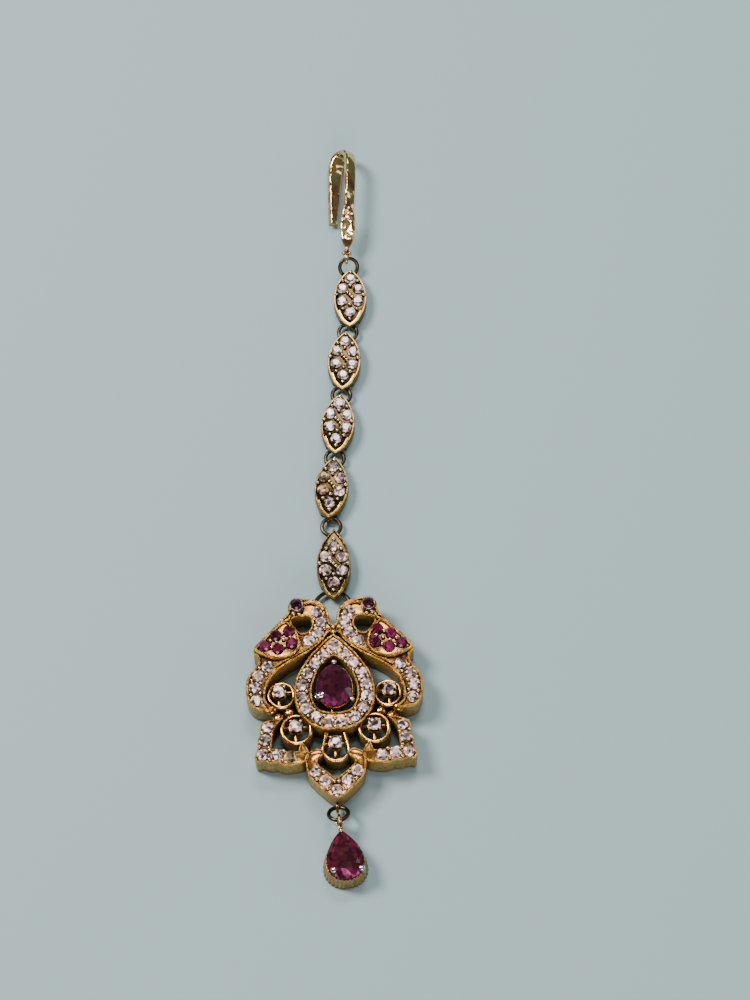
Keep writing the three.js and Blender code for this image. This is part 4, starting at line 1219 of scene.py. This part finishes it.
for i, row in enumerate(laidLinks[:-1]):
    number = len(laidLinks) - 1 - i
    jumpRing(f"ring_{number}_{number + 1}", row["upperWire"], laidLinks[i + 1]["lowerWire"])
firstWire = laidLinks[-1]["upperWire"]
hookReach = reachOf(hanging["hookEyeUp"] - chainZ, hanging["hookShift"])
hookEye = Vector((firstWire.x + hanging["hookShift"], firstWire.y + hookReach, hanging["hookEyeUp"]))
jumpRing("hook_ring", firstWire, hookEye)
tabY, tabZ = medallion["tab"]
tabWire = ahead(Vector((*medallionAt, 0)), medallionTurn, tabY) + Vector((0, 0, tabZ))
dropReach = reachOf(hanging["dropEyeUp"] - tabZ)
dropEye = Vector((tabWire.x + hanging["dropShift"], tabWire.y - dropReach, hanging["dropEyeUp"]))
jumpRing("drop_ring", dropEye, tabWire)
print("jump rings made")

# Hook
hook = {
    "strip": 1.7,
    "thick": 0.9,
    "depth": 4.6,
    "length": 16.45,
    "backLeg": 11.7,
    "bend": 3.4,
    "roll": 35,
    "turn": -1.8,
    "widen": 0.5,  # the back leg's outer edge, where it leaves the bend
    "leafLength": 6.4,
    "leafWidth": 2.15,
    "leafPitch": 12,
    "neck": 1.8,
    "neckWire": (0.6, 1.9, 0.28),  # width, length and half its height
    "knots": [(0.42, 0.75, 0.25, 0.3), (-0.42, 0.75, 0.25, 0.3), (0, 1.25, 0.75, 0.36)],
}


def hookProfile():
    # the bent strip from its side: depth across, length upwards, open at the foot
    top = hook["neck"] + hook["length"]
    outer, rise, thick = hook["depth"] / 2, hook["bend"], hook["thick"]
    turns = [math.radians(a) for a in range(180, -1, -10)]
    outside = [(outer + outer * math.cos(a), top - rise + rise * math.sin(a)) for a in turns]
    inside = [(outer + (outer - thick) * math.cos(a), top - rise + (rise - thick) * math.sin(a))
              for a in reversed(turns)]
    low = hook["neck"] + hook["leafLength"] * 0.55
    legs = [(hook["depth"], hook["neck"] + hook["leafLength"]), (hook["depth"] - thick, low)]
    return [(0, top - hook["backLeg"])] + outside + legs + inside + [(thick, top - hook["backLeg"])]


def buildRibbon():
    strip, widen = hook["strip"], hook["widen"]
    bendEnd = hook["neck"] + hook["length"] - hook["bend"]
    ribbon = slab([hookProfile()], -strip / 2, strip / 2, bevel=0.28, rounds=4)
    for vertex in ribbon.data.vertices:
        back = min(1, max(0, 1.8 * (1 - vertex.co.x / (hook["depth"] / 2))))
        along = min(1, max(0, (bendEnd - vertex.co.y) / (hook["backLeg"] - hook["bend"])))
        if vertex.co.z > 0:
            vertex.co.z += widen * back * (1 - 1.2 * along)
        else:
            vertex.co.z += widen * back * 0.8 * along
    return ribbon


def buildHook():
    roll, pitch = math.radians(hook["roll"]), math.radians(hook["leafPitch"])
    thick = hook["thick"]
    lift = hook["strip"] / 2 * math.sin(roll)
    frontLeg = hook["depth"] - thick / 2
    legX = frontLeg * math.sin(roll)
    legZ = frontLeg * math.cos(roll) + lift
    ribbon = buildRibbon()
    upright = Matrix(((0, 0, -1, 0), (0, 1, 0, 0), (1, 0, 0, 0), (0, 0, 0, 1)))
    ribbon.data.transform(Matrix.Translation((-legX, 0, lift)) @ Matrix.Rotation(roll, 4, "Y") @ upright)
    half = hook["leafLength"] / 2
    turns = [k * math.tau / 40 for k in range(40)]
    leafPath = [(hook["leafWidth"] / 2 * math.sin(turn), half - half * math.cos(turn)) for turn in turns]
    leaf = slab([leafPath], -thick / 2, thick / 2, bevel=0.25, rounds=3)
    leafLow = legZ - hook["leafLength"] * math.sin(pitch)
    leaf.data.transform(Matrix.Translation((0, hook["neck"], leafLow)) @ Matrix.Rotation(pitch, 4, "X"))
    width, length, halfHeight = hook["neckWire"]
    neckWay = math.atan2(leafLow - hookEye.z, hook["neck"] + 0.6)
    neck = block(0, 1.2, width, length, -halfHeight, halfHeight, bevel=0.15)
    neck.data.transform(Matrix.Translation((0, 0, hookEye.z)) @ Matrix.Rotation(neckWay, 4, "X"))
    eye = tabEye(0, 0, hookEye.z)
    knots = [bead(x, y, hookEye.z + up, radius) for x, y, up, radius in hook["knots"]]
    return [ribbon, leaf, neck, *eye, *knots]


settle(joinAll(buildHook()), "hook", hookMetal, (hookEye.x, hookEye.y, math.radians(hook["turn"])),
       ["hook"])
print("hook made")

# Drop
drop = {
    "width": 5.0,
    "height": 6.75,
    "wall": 0.12,
    "fullness": 0.75,
    "flare": (1.15, 1.09, 1),
    "cup": 2.9,
    "pocket": 1.2,
    "rimShare": 0.94,
    "flutes": 38,
    "fluteDepth": 0.13,
    "turn": 8,
    "neck": 1.5,
    "neckWidth": 0.55,
    "girdle": 3.25,
    "stoneShare": 0.99,
    "lowerEdge": -2.1,
    # the claws: place from the stone's middle, way inwards, radius, and how far they are drawn out
    "claws": [(-1.75, -2.0, 0.92, 0.4, 0.5, 1), (2.15, -2.25, -0.92, 0.4, 0.46, 1)],
    "clawFloor": 1.6,
    "apexPost": (3.4, 0.25),  # up from the middle, radius
    "apexBead": (3.25, 0.3),
    "knots": [(0.45, -0.55, 0.3, 0.22), (-0.45, -0.55, 0.3, 0.22), (0, -0.35, 0.62, 0.3)],
}
dropPlace = (dropEye.x, dropEye.y, math.radians(drop["turn"]))
dropY = -drop["neck"] - drop["height"] / 2


def buildCup():
    # the fluted cup; its lower half is drawn wider
    width, height, wall = drop["width"], drop["height"], drop["wall"]
    around = 8 * drop["flutes"]
    outer = pearRing(width + 2 * wall, height + 2 * wall, drop["fullness"], around)
    fluted = []
    for i, (x, y, _) in enumerate(outer):
        swell = 1 + drop["fluteDepth"] / height * (math.cos(drop["flutes"] * i / around * math.tau) - 1)
        fluted.append((x * swell, y * swell + dropY))
    inner = pearRing(width, height, drop["fullness"], 64, drop["rimShare"])
    rim = [(x, y + dropY) for x, y, _ in inner]
    cup = slab([fluted, rim], 0, drop["cup"], bevel=0.05)
    bpy.ops.object.mode_set(mode="EDIT")
    bpy.ops.mesh.select_all(action="DESELECT")
    bpy.ops.object.mode_set(mode="OBJECT")
    for vertex in cup.data.vertices:
        vertex.select = vertex.co.z < drop["cup"] / 2
    bpy.ops.object.mode_set(mode="EDIT")
    bpy.ops.transform.resize(value=drop["flare"], center_override=(0, dropY, 0))
    bpy.ops.object.mode_set(mode="OBJECT")
    return [cup, slab([rim], 0.2, drop["cup"] - drop["pocket"], bevel=0.05)]


def buildDrop():
    eyeZ = dropEye.z
    rise = drop["cup"] * 0.8
    neckZ = (eyeZ + rise) / 2
    neckLength = drop["neck"] - 0.4
    parts = buildCup()
    parts.append(block(0, -(drop["neck"] + 0.43) / 2, drop["neckWidth"], neckLength, neckZ - 0.4, neckZ + 0.4,
                       bevel=0.15))
    parts += tabEye(0, 0, eyeZ)
    up, radius = drop["apexPost"]
    parts.append(post(0, dropY + up, radius, rise - 0.5, drop["girdle"] + 0.1))
    up, radius = drop["apexBead"]
    parts.append(bead(0, dropY + up, drop["girdle"] + 0.2, radius))
    return parts + [bead(x, y, eyeZ + over, radius) for x, y, over, radius in drop["knots"]]


settle(joinAll(buildDrop()), "drop.setting", goldMetal, dropPlace, ["drop_setting"])
clawSpots = [(x, dropY + y, *rest) for x, y, *rest in drop["claws"]]
settle(joinAll(buildClaws(clawSpots, drop["clawFloor"], drop["girdle"])), "drop.claws", silverMetal,
       dropPlace)
share = drop["stoneShare"]
dropStone = pearCut(drop["width"] * share, drop["height"] * share, drop["fullness"])
dropStone.data.transform(Matrix.Translation((0, dropY, drop["girdle"])))
tintAndGlintFacets(dropStone, stoneTintsAndGlints["drop"], stoneTintsAndGlints["dropTable"], stoneTintsAndGlints["dropLower"],
           dropY + drop["lowerEdge"])
settle(dropStone, "drop.ruby", redGlass, dropPlace, ["drop_ruby"], smooth=False)
print("drop made")
